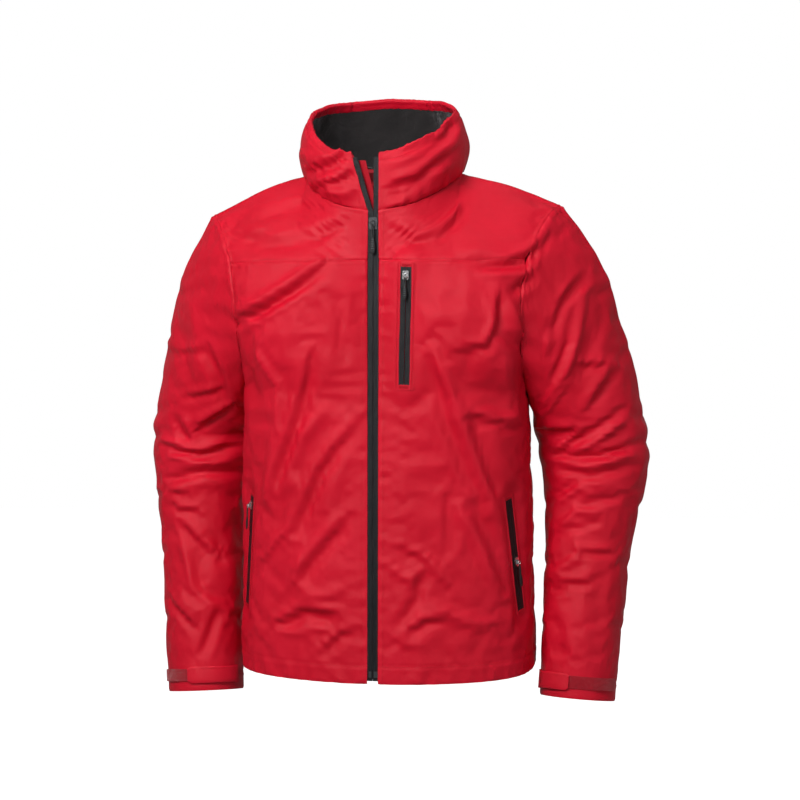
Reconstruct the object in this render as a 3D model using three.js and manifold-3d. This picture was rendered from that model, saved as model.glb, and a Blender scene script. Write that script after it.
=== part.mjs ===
// Foul weather jacket with stand-up collar, two-way soft shell and lining.
// Millimetres, +Z up, -Y front, origin at the hanger loop inside the back neck.
import * as THREE from 'three';
import Manifold from 'manifold-3d';

const wasm = await Manifold();
wasm.setup();

// ---- driving dimensions ----
const LOOP_Y = 75, LOOP_Z = 700;          // hanger loop, from the hem-front datum
const SHELL = 2.0, LINING = 1.2, LINING_OFF = 4.2;
const EDGE_GAP = 0.6;
const HEM_HALF = 208, CHEST_HALF = 205, ARM_Z = 400;
const ZIP_Y0 = -140, ZIP_RISE = 45, NECK_Z = 654, COLLAR_FRONT_Z = 733;
const HINGE_X = 165;                      // where a front folds open
const ZIP_HALF = 8;                       // half of the visible zip band
const BACK_DEPTH = 138;
const SLEEVE_R = 77, FOREARM_R = 62, CUFF_R = 57;
const ELBOW = [285, 70, 335], FORE = [283, 46, 180], CUFF = [272, 4, -46];
const SLIDER_Z = 636;                     // main slider centre, zip closed below

const V = (x, y, z) => new THREE.Vector3(x, y, z);
const zipY = z => ZIP_Y0 + ZIP_RISE * z / 655;
const zipDir = V(0, ZIP_RISE, 655).normalize();
const spow = (a, p) => Math.sign(a) * Math.pow(Math.abs(a), p);
const lerp = (a, b, t) => a + (b - a) * t;

const root = new THREE.Group();
root.name = 'foul_weather_jacket';
const COL = {
  red: 0xc81c2d, lining: 0x6e1220, fleece: 0x2a2828, tape: 0x1c1a1c, metal: 0x9a9a9c,
  rubber: 0x202022, loop: 0xb01a28, mesh: 0x7c1824,
};
function add(name, geo, color) {
  geo.translate(0, -LOOP_Y, -LOOP_Z);
  const m = new THREE.Mesh(geo, new THREE.MeshStandardMaterial({ color: COL[color], roughness: 0.8 }));
  m.name = name;
  root.add(m);
  return m;
}

// ---- closed geometry helpers ----
function fromTris(pos, idx) {
  const g = new THREE.BufferGeometry();
  g.setAttribute('position', new THREE.Float32BufferAttribute(pos, 3));
  g.setIndex(idx);
  g.computeVertexNormals();
  return g;
}
// outer grid P[i][j]; the solid lies from off to off + t beneath it, against its outward side
function panel(P, t, off = 0, trim = [EDGE_GAP, EDGE_GAP, EDGE_GAP, EDGE_GAP], flip = false) {
  const ni = P.length, nj = P[0].length;
  const Q = P.map(r => r.map(p => p.clone()));
  const pull = (a, b, g) => { const d = b.clone().sub(a); a.addScaledVector(d.normalize(), g); };
  for (let j = 0; j < nj; j++) { pull(Q[0][j], P[1][j], trim[0]); pull(Q[ni - 1][j], P[ni - 2][j], trim[1]); }
  const R = Q.map(r => r.map(p => p.clone()));
  for (let i = 0; i < ni; i++) { pull(Q[i][0], R[i][1], trim[2]); pull(Q[i][nj - 1], R[i][nj - 2], trim[3]); }
  const N = Q.map((r, i) => r.map((p, j) => {
    const a = Q[Math.min(i + 1, ni - 1)][j].clone().sub(Q[Math.max(i - 1, 0)][j]);
    const b = Q[i][Math.min(j + 1, nj - 1)].clone().sub(Q[i][Math.max(j - 1, 0)]);
    const n = a.cross(b).normalize();
    return flip ? n.negate() : n;
  }));
  const pos = [], idx = [], id = (k, i, j) => k * ni * nj + i * nj + j;
  for (let k = 0; k < 2; k++) for (let i = 0; i < ni; i++) for (let j = 0; j < nj; j++) {
    const p = Q[i][j].clone().addScaledVector(N[i][j], -(off + k * t));
    pos.push(p.x, p.y, p.z);
  }
  const quad = (a, b, c, d) => flip ? idx.push(a, c, b, a, d, c) : idx.push(a, b, c, a, c, d);
  for (let i = 0; i < ni - 1; i++) for (let j = 0; j < nj - 1; j++) {
    quad(id(0, i, j), id(0, i + 1, j), id(0, i + 1, j + 1), id(0, i, j + 1));
    quad(id(1, i, j), id(1, i, j + 1), id(1, i + 1, j + 1), id(1, i + 1, j));
  }
  for (let i = 0; i < ni - 1; i++) {
    quad(id(0, i, 0), id(1, i, 0), id(1, i + 1, 0), id(0, i + 1, 0));
    quad(id(0, i, nj - 1), id(0, i + 1, nj - 1), id(1, i + 1, nj - 1), id(1, i, nj - 1));
  }
  for (let j = 0; j < nj - 1; j++) {
    quad(id(0, 0, j), id(0, 0, j + 1), id(1, 0, j + 1), id(1, 0, j));
    quad(id(0, ni - 1, j), id(1, ni - 1, j), id(1, ni - 1, j + 1), id(0, ni - 1, j + 1));
  }
  return fromTris(pos, idx);
}
// rings[k] are closed loops, first to last; wall t inward
function tube(rings, t, off = 0) {
  const nk = rings.length, n = rings[0].length;
  const cen = rings.map(r => r.reduce((a, p) => a.add(p), V(0, 0, 0)).multiplyScalar(1 / n));
  const at = (k, i) => rings[k][(i + n) % n];
  const pos = [], idx = [], id = (s, k, i) => s * nk * n + k * n + (i + n) % n;
  for (let s = 0; s < 2; s++) for (let k = 0; k < nk; k++) for (let i = 0; i < n; i++) {
    const a = at(Math.min(k + 1, nk - 1), i).clone().sub(at(Math.max(k - 1, 0), i));
    const b = at(k, i + 1).clone().sub(at(k, i - 1));
    const nn = a.cross(b).normalize();
    if (nn.dot(at(k, i).clone().sub(cen[k])) < 0) nn.negate();
    const p = at(k, i).clone().addScaledVector(nn, -(off + s * t));
    pos.push(p.x, p.y, p.z);
  }
  const a0 = at(1, 0).clone().sub(at(0, 0)), b0 = at(0, 1).clone().sub(at(0, 0));
  const flip = a0.cross(b0).dot(at(0, 0).clone().sub(cen[0])) < 0;
  const quad = (a, b, c, d) => flip ? idx.push(a, c, b, a, d, c) : idx.push(a, b, c, a, c, d);
  for (let k = 0; k < nk - 1; k++) for (let i = 0; i < n; i++) {
    quad(id(0, k, i), id(0, k + 1, i), id(0, k + 1, i + 1), id(0, k, i + 1));
    quad(id(1, k, i), id(1, k, i + 1), id(1, k + 1, i + 1), id(1, k + 1, i));
  }
  for (let i = 0; i < n; i++) {
    quad(id(0, 0, i), id(0, 0, i + 1), id(1, 0, i + 1), id(1, 0, i));
    quad(id(0, nk - 1, i), id(1, nk - 1, i), id(1, nk - 1, i + 1), id(0, nk - 1, i + 1));
  }
  return fromTris(pos, idx);
}
function basis(origin, x, y, z) {
  const m = new THREE.Matrix4().makeBasis(x, y, z);
  m.setPosition(origin);
  return m;
}
// box with its width along w, depth along n (outwards) and length along d, centred at c
function slab(c, w, n, d, width, thick, length) {
  const g = new THREE.BoxGeometry(width, thick, length);
  const W = w.clone().normalize(), D = d.clone().normalize();
  const Y = D.clone().cross(W).normalize();
  if (Y.dot(n) < 0) { W.negate(); Y.negate(); }
  g.applyMatrix4(basis(c, W, Y, D));
  return g;
}
const mirrorGrid = P => P.map(r => r.map(p => V(-p.x, p.y, p.z)));
const curve = pts => new THREE.CatmullRomCurve3(pts.map(p => V(...p)), false, 'centripetal');

// ---- body shape ----
const bulge = z => 17 * Math.exp(-(((z - 450) / 150) ** 2));
const halfW = z => z < 250 ? lerp(HEM_HALF, 204, Math.sin(Math.PI / 2 * z / 250)) : lerp(204, CHEST_HALF, (z - 250) / 150);
function frontRing(s, z) {
  const a = halfW(z), f = lerp(Math.asin(Math.pow(ZIP_HALF / a, 1 / 0.9)), Math.PI / 2, s);
  const x = a * spow(Math.sin(f), 0.9);
  const y = (zipY(z) - 2.5) * spow(Math.cos(f), 0.8) - bulge(z) * Math.sin(2 * f) * (s < 1 ? 1 : 0);
  return V(x, y, z);
}
function backRing(s, z) {
  const a = halfW(z), f = s * Math.PI / 2;
  return V(a * spow(Math.sin(f), 0.85), lerp(132, BACK_DEPTH, Math.min(1, z / 300)) * spow(Math.cos(f), 0.8), z);
}
const armFrontLow = curve([[205, 0, 400], [203, -45, 432], [203, -72, 480], [206, -80, 530], [214, -70, 585]]);
const armFrontHigh = curve([[214, -70, 585], [228, -48, 622], [243, -20, 647], [255, 5, 657]]);
const armBackLow = curve([[205, 0, 400], [204, 45, 432], [206, 72, 480], [210, 86, 530], [216, 84, 585]]);
const armBackHigh = curve([[216, 84, 585], [229, 62, 622], [244, 32, 647], [255, 5, 657]]);
const yokeFront = curve([[ZIP_HALF, zipY(585) - 2.5, 585], [60, -113, 585], [120, -106, 585], [172, -90, 585], [214, -70, 585]]);
const yokeBack = curve([[0, 130, 585], [70, 128, 585], [150, 112, 585], [216, 84, 585]]);
const neckFront = curve([[ZIP_HALF, zipY(NECK_Z) - 2.5, NECK_Z], [50, -88, 662], [88, -56, 680], [108, -22, 697], [113, 4, 706]]);
const neckBack = curve([[0, 82, 712], [55, 74, 712], [95, 42, 711], [113, 4, 706]]);
const SHOULDER = [V(113, 4, 706), V(255, 5, 657)];
const shoulderAt = t => SHOULDER[0].clone().lerp(SHOULDER[1], t).add(V(0, 0, 5 * Math.sin(Math.PI * t)));
const NECK_S = 0.46;
const topFront = s => s < NECK_S ? neckFront.getPoint(s / NECK_S) : shoulderAt((s - NECK_S) / (1 - NECK_S));
const topBack = s => s < NECK_S ? neckBack.getPoint(s / NECK_S) : shoulderAt((s - NECK_S) / (1 - NECK_S));
function coons(B, T, L, R, u, v) {
  const p = B(u).multiplyScalar(1 - v).addScaledVector(T(u), v)
    .addScaledVector(L(v), 1 - u).addScaledVector(R(v), u);
  return p.addScaledVector(B(0), -(1 - u) * (1 - v)).addScaledVector(B(1), -u * (1 - v))
    .addScaledVector(T(0), -(1 - u) * v).addScaledVector(T(1), -u * v);
}
const zipEdge = z => V(ZIP_HALF, zipY(z) - 2.5, z);
function front(s, v) {
  if (v <= 1) return frontRing(s, lerp(0, ARM_Z, v));
  if (v <= 2) return coons(u => frontRing(u, ARM_Z), u => yokeFront.getPoint(u), t => zipEdge(lerp(ARM_Z, 585, t)), t => armFrontLow.getPoint(t), s, v - 1);
  return coons(u => yokeFront.getPoint(u), topFront, t => zipEdge(lerp(585, NECK_Z, t)), t => armFrontHigh.getPoint(t), s, v - 2);
}
function back(s, v) {
  if (v <= 1) return backRing(s, lerp(0, ARM_Z, v));
  const mid = z => V(0, z < 585 ? lerp(BACK_DEPTH, 130, (z - ARM_Z) / 185) : 0, z);
  if (v <= 2) return coons(u => backRing(u, ARM_Z), u => yokeBack.getPoint(u), t => mid(lerp(ARM_Z, 584.99, t)), t => armBackLow.getPoint(t), s, v - 1);
  const up = curve([[0, 130, 585], [0, 120, 640], [0, 100, 685], [0, 82, 712]]);
  return coons(u => yokeBack.getPoint(u), topBack, t => up.getPoint(t), t => armBackHigh.getPoint(t), s, v - 2);
}
function sAtX(v, x) {
  let lo = 0, hi = 1;
  for (let k = 0; k < 30; k++) { const m = (lo + hi) / 2; if (front(m, v).x < x) lo = m; else hi = m; }
  return (lo + hi) / 2;
}
const steps = (a, b, n) => Array.from({ length: n + 1 }, (_, i) => lerp(a, b, i / n));
// columns i across, rows j up
const frontGrid = (v0, v1, n, m) => steps(0, 1, n).map(a => steps(v0, v1, m).map(v => front(a * sAtX(v, HINGE_X), v)));
const sideGrid = (v0, v1, n, m) => steps(0, 1, n).map(a => steps(v0, v1, m).map(v => { const s = sAtX(v, HINGE_X); return front(lerp(s, 1, a), v); }));
function rows(parts) { return steps(0, 1, parts); }

// side panels carry on up to the shoulder, one solid each
function joinRows(list) {
  const P = list[0].map(r => r.slice());
  for (const g of list.slice(1)) g.forEach((r, i) => P[i].push(...r.slice(1)));
  return P;
}
const SEAM = 0.9;
for (const [side, mir] of [['left', false], ['right', true]]) {
  const M = g => mir ? mirrorGrid(g) : g;
  const fp = joinRows([frontGrid(0, 1, 7, 6), frontGrid(1, 2, 7, 4)]);
  add(`${side}_front_panel`, panel(M(fp), SHELL, 0, [0.4, SEAM, 0, EDGE_GAP], mir), 'red');
  add(`${side}_front_yoke`, panel(M(frontGrid(2, 3, 7, 4)), SHELL, 0, [0.4, SEAM, EDGE_GAP, SEAM], mir), 'red');
  const fl = joinRows([frontGrid(0.03, 1, 7, 6), frontGrid(1, 2, 7, 4), frontGrid(2, 3, 7, 4)]);
  add(`${side}_front_lining`, panel(M(fl), LINING, LINING_OFF, [16, 4, 0, 6], mir), 'mesh');
  const sp = joinRows([sideGrid(0, 1, 4, 6), sideGrid(1, 2, 4, 4), sideGrid(2, 3, 4, 4)]);
  add(`${side}_side_panel`, panel(M(sp), SHELL, 0, [SEAM, EDGE_GAP, 0, EDGE_GAP], mir), 'red');
  const sl = joinRows([sideGrid(0.03, 1, 4, 6), sideGrid(1, 2, 4, 4), sideGrid(2, 3, 4, 4)]);
  add(`${side}_side_lining`, panel(M(sl), LINING, LINING_OFF, [4, 5, 0, 6], mir), 'mesh');
}
// back: one panel from side seam to side seam, and a yoke above it
const backGrid = (v0, v1, n, m) => steps(-1, 1, n).map(a => steps(v0, v1, m).map(v => {
  const p = back(Math.abs(a), v); return V(a < 0 ? -p.x : p.x, p.y, p.z);
}));
add('back_panel', panel(joinRows([backGrid(0, 1, 16, 5), backGrid(1, 2, 16, 4)]), SHELL, 0, [EDGE_GAP, EDGE_GAP, 0, EDGE_GAP], true), 'red');
add('back_yoke', panel(backGrid(2, 3, 16, 4), SHELL, 0, [EDGE_GAP, EDGE_GAP, EDGE_GAP, 2.6], true), 'red');
add('back_lining', panel(joinRows([backGrid(0.03, 1, 16, 5), backGrid(1, 2, 16, 4), backGrid(2, 3, 16, 4)]), LINING, LINING_OFF, [5, 5, 0, 6], true), 'mesh');

// ---- collar ----
const rimFront = curve([[ZIP_HALF, zipY(COLLAR_FRONT_Z) - 2.5, COLLAR_FRONT_Z], [50, -88, 742], [92, -56, 766], [114, -20, 786], [119, 8, 800]]);
const rimBack = curve([[0, 94, 817], [58, 86, 816], [102, 48, 811], [119, 8, 800]]);
// the right half stands open, its front edge leaning away from the zip line
const collarLean = z => Math.max(0, z - (NECK_Z - 2)) * 0.30;
function collarGrid(low, high, n, m, open = false) {
  return steps(0, 1, n).map(a => steps(0, 1, m).map(v => {
    const p = low.getPoint(a).lerp(high.getPoint(a), v);
    const c = V(0, -5, p.z), d = p.clone().sub(c); d.z = 0;
    p.addScaledVector(d.normalize(), 3 * Math.sin(Math.PI * v) * Math.min(1, a * 4 + (low === neckBack ? 1 : 0)));
    if (open) p.x += collarLean(p.z) * (1 - a) ** 3;
    return p;
  }));
}
for (const [side, mir] of [['left', false], ['right', true]]) {
  const M = g => mir ? mirrorGrid(g) : g;
  add(`${side}_collar_front`, panel(M(collarGrid(neckFront, rimFront, 8, 3, mir)), SHELL, 0, [0.4, SEAM, EDGE_GAP, 0], mir), 'red');
  add(`${side}_collar_front_lining`, panel(M(collarGrid(neckFront, rimFront, 8, 3, mir)), 1.6, 2.6, [9, 3.2, 1.5, 2], mir), 'fleece');
}
const cb = (() => {
  const h = collarGrid(neckBack, rimBack, 8, 3);
  return [...h.slice().reverse().map(r => r.map(p => V(-p.x, p.y, p.z))), ...h.slice(1)];
})();
add('back_collar', panel(cb, SHELL, 0, [EDGE_GAP, EDGE_GAP, EDGE_GAP, 0], true), 'red');
add('back_collar_lining', panel(cb, 1.6, 2.6, [3.2, 3.2, 1.5, 2], true), 'fleece');

// ---- main zip ----
const X = V(1, 0, 0), OUT = V(0, -655, ZIP_RISE).normalize();      // outward from the zip
const onZip = (x, off, z) => V(x, zipY(z), z).addScaledVector(OUT, off);
function zipHalf(mir, z0, z1, x0, x1, off, t, bend) {
  const k = mir ? -1 : 1, zs = [z0, 560, 630, NECK_Z - 2, 690, z1];
  const taper = z => Math.min(x1, lerp(x1, 8.6, Math.min(1, Math.max(0, (z - 560) / 60))));
  const P = [0, 1].map(e => zs.map(z => onZip(k * ((e ? taper(z) : x0) + (bend ? collarLean(z) : 0)), off, z)));
  return panel(P, t, 0, [0, 0, 0, 0], mir);
}
for (const [side, mir] of [['left', false], ['right', true]]) {
  add(`${side}_zip_tape`, zipHalf(mir, 12, 728, 1.4, 21, -0.3, 0.7, mir), 'tape');
  add(`${side}_zip_coil`, zipHalf(mir, 14, 724, 1.4, 4.0, -1.4, 2.0, mir), 'tape');
}
{
  const P = [-30, -9].map(x => [20, 320, 640].map(z => onZip(x, -6.2, z)));
  add('storm_placket', panel(P, 1.2, 0, [0, 0, 0, 0], false), 'lining');
}
// extruded plate in the zip plane: shape in (across, along), thickness towards the wearer
function plate(shape, t, origin, dir, out, bevel = 0) {
  const g = new THREE.ExtrudeGeometry(shape, { depth: t, bevelEnabled: bevel > 0, bevelSize: bevel, bevelThickness: bevel, bevelSegments: 1, curveSegments: 6, steps: 1 });
  const z = out.clone().normalize(), y = dir.clone().normalize(), x = y.clone().cross(z);
  g.applyMatrix4(basis(origin.clone().addScaledVector(z, -t), x, y, z));
  return g;
}
function rounded(w, h, r, hole) {
  const s = new THREE.Shape();
  s.moveTo(-w / 2 + r, -h / 2); s.lineTo(w / 2 - r, -h / 2); s.quadraticCurveTo(w / 2, -h / 2, w / 2, -h / 2 + r);
  s.lineTo(w / 2, h / 2 - r); s.quadraticCurveTo(w / 2, h / 2, w / 2 - r, h / 2); s.lineTo(-w / 2 + r, h / 2);
  s.quadraticCurveTo(-w / 2, h / 2, -w / 2, h / 2 - r); s.lineTo(-w / 2, -h / 2 + r); s.quadraticCurveTo(-w / 2, -h / 2, -w / 2 + r, -h / 2);
  if (hole) { const p = new THREE.Path(); p.absellipse(0, h / 2 - hole[1], hole[0], hole[0], 0, Math.PI * 2, true); s.holes.push(p); }
  return s;
}
const toMan = g => {
  const q = g.index ? g.toNonIndexed() : g, p = q.attributes.position, map = new Map(), vp = [], tv = [];
  for (let i = 0; i < p.count; i++) {
    const k = [p.getX(i), p.getY(i), p.getZ(i)].map(a => Math.round(a * 1e4)).join();
    if (!map.has(k)) { map.set(k, vp.length / 3); vp.push(p.getX(i), p.getY(i), p.getZ(i)); }
    tv.push(map.get(k));
  }
  return new wasm.Manifold(new wasm.Mesh({ numProp: 3, vertProperties: new Float32Array(vp), triVerts: new Uint32Array(tv) }));
};
const fromMan = m => {
  const g = m.getMesh(); return fromTris(Array.from(g.vertProperties), Array.from(g.triVerts));
};
const union = gs => fromMan(gs.map(toMan).reduce((a, b) => a.add(b)));

// slider with front and back plates round the coils and a wedge between them
function sliderGeo(c, dir, out, w, h, half) {
  const d = dir.clone().normalize(), o = out.clone().normalize(), at = (a, b) => c.clone().addScaledVector(d, a).addScaledVector(o, b);
  const bodies = [
    plate(rounded(w, h, w * 0.28), 1.5, at(0, half + 1.5), d, o),
    plate(rounded(w - 1, h - 2, w * 0.28), 1.4, at(0, -half - 0.1), d, o),
    slab(at(h / 2 - 2.6, 0), d.clone().cross(o), o, d, 1.9, half * 2 + 1.4, 3.6),
    slab(at(0.5, half + 2.2), d.clone().cross(o), o, d, 2.6, 2.2, h * 0.5),
  ];
  return union(bodies);
}
const zipC = onZip(0, -1.9, SLIDER_Z);
add('main_zip_slider', sliderGeo(zipC, zipDir, OUT, 12, 17, 2.2), 'metal');
// pull: ring and rubber tab hanging in front
function pullGeo(top, dir, out, ringR, w, len, t) {
  const d = dir.clone().normalize(), o = out.clone().normalize(), x = d.clone().cross(o);
  const ring = new THREE.TorusGeometry(ringR, 0.8, 6, 18);
  ring.applyMatrix4(basis(top.clone().addScaledVector(d, -ringR), x, d, o));
  const tab = plate(rounded(w, len, w * 0.35), t, top.clone().addScaledVector(d, -(ringR * 2) - len / 2 + 2.2).addScaledVector(o, t / 2), d, o);
  return union([ring, tab]);
}
const pullTop = onZip(0, -1.9 + 2.2 + 1.5 + 0.8 + 2.8, SLIDER_Z + 3);
add('main_zip_pull', pullGeo(pullTop, zipDir, OUT, 4.2, 8, 30, 2.6), 'rubber');
add('zip_retainer_box', slab(onZip(4.6, -1.1, 5.2), X, OUT, zipDir, 6.0, 4.4, 8.5), 'metal');
add('zip_insertion_pin', slab(onZip(-3.6, -1.1, 5.2), X, OUT, zipDir, 4.0, 3.4, 8.5), 'metal');

// ---- straight pocket zips ----
function surfaceAt(x, z, mir) {
  let v = z / ARM_Z; if (z > ARM_Z) v = 1 + (z - ARM_Z) / 185;
  for (let k = 0; k < 6; k++) { const p = front(sAtX(v, x), v); v += (z - p.z) / (v > 1 ? 185 : 400); }
  const s = sAtX(v, x), p = front(s, v), e = 0.02;
  const a = front(Math.min(1, s + e), v).sub(front(s - e, v)), b = front(s, v + e).sub(front(s, v - e));
  const n = a.cross(b).normalize();
  if (mir) { p.x *= -1; n.x *= -1; }
  return { p, n };
}
function pocketZip(x0, z0, x1, z1, mir) {
  const a = surfaceAt(x0, z0, mir), b = surfaceAt(x1, z1, mir);
  const n = a.n.clone().add(b.n), d = a.p.clone().sub(b.p).normalize();
  n.addScaledVector(d, -n.dot(d)).normalize();
  let lift = 0;
  for (let k = 0; k <= 12; k++) {
    const t = k / 12, q = surfaceAt(lerp(x0, x1, t), lerp(z0, z1, t), mir).p;
    const l = b.p.clone().lerp(a.p, 1 - t);
    lift = Math.max(lift, q.clone().sub(l).dot(n));
  }
  a.p.addScaledVector(n, lift + 0.5); b.p.addScaledVector(n, lift + 0.5);
  return { top: a.p, bot: b.p, n, d, w: d.clone().cross(n), len: a.p.distanceTo(b.p), lift };
}
function pocketParts(prefix, z, along, width, sliderW) {
  const mid = z.top.clone().lerp(z.bot, 0.5);
  const half = (x0, x1) => slab(mid.clone().addScaledVector(z.w, (x0 + x1) / 2).addScaledVector(z.n, 0.5), z.w, z.n, z.d, x1 - x0, 0.8, z.len);
  add(`${prefix}_zip_tape`, half(-width / 2, width / 2), 'tape');
  const c = z.top.clone().addScaledVector(z.d, -along).addScaledVector(z.n, 1.3);
  const body = union([
    plate(rounded(sliderW, 13, sliderW * 0.3), 2.4, c.clone().addScaledVector(z.n, 2.4), z.d, z.n),
    slab(c.clone().addScaledVector(z.n, 3.2), z.w, z.n, z.d, 2.4, 2.2, 6),
  ]);
  add(`${prefix}_slider`, body, 'metal');
  return c;
}
const chest = pocketZip(50, 576, 46, 412, false);
const chestC = pocketParts('chest_pocket', chest, 12, 12, 9);
add('chest_pocket_pull', pullGeo(chestC.clone().addScaledVector(chest.n, 5.6).addScaledVector(chest.d, 1), chest.d, chest.n, 3.4, 6.5, 20, 2.2), 'rubber');
const handR = pocketZip(184, 246, 199, 84, true);
const handL = pocketZip(184, 246, 199, 84, false);
const handRC = pocketParts('right_hand_pocket', handR, 14, 9, 8);
const handLC = pocketParts('left_hand_pocket', handL, 92, 9, 8);
add('right_hand_pocket_pull', pullGeo(handRC.clone().addScaledVector(handR.n, 5.6).addScaledVector(handR.d, 1), handR.d, handR.n, 3.4, 6.5, 22, 2.2), 'rubber');
add('left_hand_pocket_pull', pullGeo(handLC.clone().addScaledVector(handL.n, 5.6).addScaledVector(handL.d, 1), handL.d, handL.n, 3.4, 6.5, 22, 2.2), 'rubber');
// pocket bags, open towards their zips
function bag(cx, cy, cz, w, d, h, wall, mouth) {
  const outer = wasm.Manifold.cube([w, d, h], true);
  const inner = wasm.Manifold.cube([w, d - 2 * wall, h - 2 * wall], true).translate([mouth * wall, 0, 0]);
  return fromMan(outer.subtract(inner).translate([cx, cy, cz]));
}
add('left_hand_pocket_bag', bag(108, -76, 150, 80, 11, 170, 1.4, 1), 'lining');
add('right_hand_pocket_bag', bag(-108, -76, 150, 80, 11, 170, 1.4, -1), 'lining');
add('chest_pocket_bag', bag(88, -82, 470, 80, 10, 150, 1.4, -1), 'lining');

// ---- sleeves ----
const N = 20;
function armRing() {
  const pts = [...armFrontHigh.getSpacedPoints(8).reverse(), ...armFrontLow.getSpacedPoints(12).reverse().slice(1),
    ...armBackLow.getSpacedPoints(12).slice(1), ...armBackHigh.getSpacedPoints(8).slice(1, -1)];
  const c = new THREE.CatmullRomCurve3(pts, true, 'centripetal');
  c.arcLengthDivisions = 600;
  return Array.from({ length: N }, (_, i) => c.getPointAt(i / N));
}
function circle(c, r, dir, rx = 1) {
  const d = V(...dir).normalize(), x = V(1, 0, 0).addScaledVector(d, -d.x).normalize(), y = d.clone().cross(x).normalize();
  if (y.y > 0) y.negate();
  return Array.from({ length: N }, (_, i) => {
    const a = 2 * Math.PI * i / N;
    return V(...c).addScaledVector(x, rx * r * Math.cos(a)).addScaledVector(y, r * Math.sin(a));
  });
}
const A = armRing();
const ac = A.reduce((a, p) => a.add(p), V(0, 0, 0)).multiplyScalar(1 / N);
const E = circle(ELBOW, SLEEVE_R, [0.05, 0.1, -1]);
const upper = steps(0, 1, 7).map(t => A.map((a, i) => {
  const p = a.clone().lerp(E[i], t);
  const o = Math.max(0, Math.cos(2 * Math.PI * i / N));
  p.x += (t === 0 ? 0 : 1) * 22 * o * 4 * t * (1 - t);
  p.x += 2.2 * (1 - t) + 0.4; p.z += (t === 0 ? -1.2 * o : 8 * o * 4 * t * (1 - t));
  return p;
}));
const L0 = circle([ELBOW[0] + 0.3, ELBOW[1] + 0.4, ELBOW[2] - 3.4], SLEEVE_R, [0.05, 0.1, -1]);
const lowerRings = [L0,
  circle([286, 66, 285], 74, [0, -0.05, -1]), circle([285, 56, 232], 67, [0, -0.15, -1]), circle(FORE, FOREARM_R, [-0.02, -0.2, -1]),
  circle([280, 32, 120], 60.5, [-0.03, -0.22, -1]), circle([276, 18, 45], 58, [-0.05, -0.22, -1]), circle(CUFF, CUFF_R, [-0.06, -0.2, -1])];
const cuffDir = V(-0.06, -0.2, -1).normalize();
for (const [side, k] of [['left', 1], ['right', -1]]) {
  const M = R => k > 0 ? R : R.map(r => r.map(p => V(-p.x, p.y, p.z)));
  add(`${side}_upper_sleeve`, tube(M(upper), SHELL), 'red');
  add(`${side}_upper_sleeve_lining`, tube(M(upper.slice(1)), LINING, LINING_OFF), 'mesh');
  add(`${side}_lower_sleeve`, tube(M(lowerRings), SHELL), 'red');
  add(`${side}_lower_sleeve_lining`, tube(M(lowerRings.slice(1)), LINING, LINING_OFF), 'mesh');
  // curved strips on the cuff: a0 to a1 in degrees round it, 90 being the front
  const strip = (a0, a1, r0, t, w, n) => {
    const P = steps(a0, a1, n).map(a => [-w / 2, w / 2].map(h => {
      const t0 = a * Math.PI / 180, x = V(1, 0, 0).addScaledVector(cuffDir, -cuffDir.x).normalize();
      const y = cuffDir.clone().cross(x).normalize(); if (y.y > 0) y.negate();
      const c = V(...CUFF).addScaledVector(cuffDir, -24 + h);
      const r = CUFF_R + 0.4 + r0 + t;
      const p = c.addScaledVector(x, r * Math.cos(t0)).addScaledVector(y, r * Math.sin(t0));
      return V(k * p.x, p.y, p.z);
    }));
    return panel(P, t, 0, [0, 0, 0, 0], k > 0);
  };
  const tabEnd = k > 0 ? 100 : 78;
  add(`${side}_cuff_loop_patch`, strip(26, 128, 0.9, 1.0, 18, 8), 'fleece');
  add(`${side}_cuff_hook_patch`, strip(tabEnd + 3, 126, 2.3, 0.8, 16, 5), 'fleece');
  add(`${side}_cuff_tab`, strip(tabEnd, 152, 3.5, 1.8, 24, 7), 'red');
}

// ---- hanger loop ----
{
  const s = new THREE.Shape(); s.moveTo(-0.8, -4); s.lineTo(0.8, -4); s.lineTo(0.8, 4); s.lineTo(-0.8, 4); s.lineTo(-0.8, -4);
  const path = new THREE.CatmullRomCurve3([V(-30, LOOP_Y - 3, LOOP_Z - 8), V(-18, LOOP_Y - 6, LOOP_Z - 1), V(0, LOOP_Y - 8, LOOP_Z + 1), V(18, LOOP_Y - 6, LOOP_Z - 1), V(30, LOOP_Y - 3, LOOP_Z - 8)]);
  add('hanger_loop', new THREE.ExtrudeGeometry(s, { steps: 14, extrudePath: path }), 'loop');
}

export default root;
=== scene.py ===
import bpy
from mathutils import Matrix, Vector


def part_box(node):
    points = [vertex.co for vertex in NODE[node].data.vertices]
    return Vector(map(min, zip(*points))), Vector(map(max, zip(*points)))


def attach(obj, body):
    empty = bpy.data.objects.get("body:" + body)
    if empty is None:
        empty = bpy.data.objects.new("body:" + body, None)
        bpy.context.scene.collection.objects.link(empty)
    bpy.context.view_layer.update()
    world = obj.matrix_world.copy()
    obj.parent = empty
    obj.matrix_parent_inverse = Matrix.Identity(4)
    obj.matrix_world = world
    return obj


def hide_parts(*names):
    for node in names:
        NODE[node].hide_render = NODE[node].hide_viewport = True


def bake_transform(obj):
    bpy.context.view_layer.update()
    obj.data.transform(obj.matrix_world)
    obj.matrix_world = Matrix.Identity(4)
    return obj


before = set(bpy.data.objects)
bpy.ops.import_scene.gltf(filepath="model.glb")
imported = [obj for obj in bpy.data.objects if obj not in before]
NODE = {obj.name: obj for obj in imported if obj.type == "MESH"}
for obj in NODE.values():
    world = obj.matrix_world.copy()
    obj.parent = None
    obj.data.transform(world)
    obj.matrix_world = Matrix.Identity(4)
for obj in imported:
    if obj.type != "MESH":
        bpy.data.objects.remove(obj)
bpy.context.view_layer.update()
import math
import bpy, bmesh
import numpy as np
from mathutils import Vector, Matrix, Quaternion

rng = np.random.default_rng(7)

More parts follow.
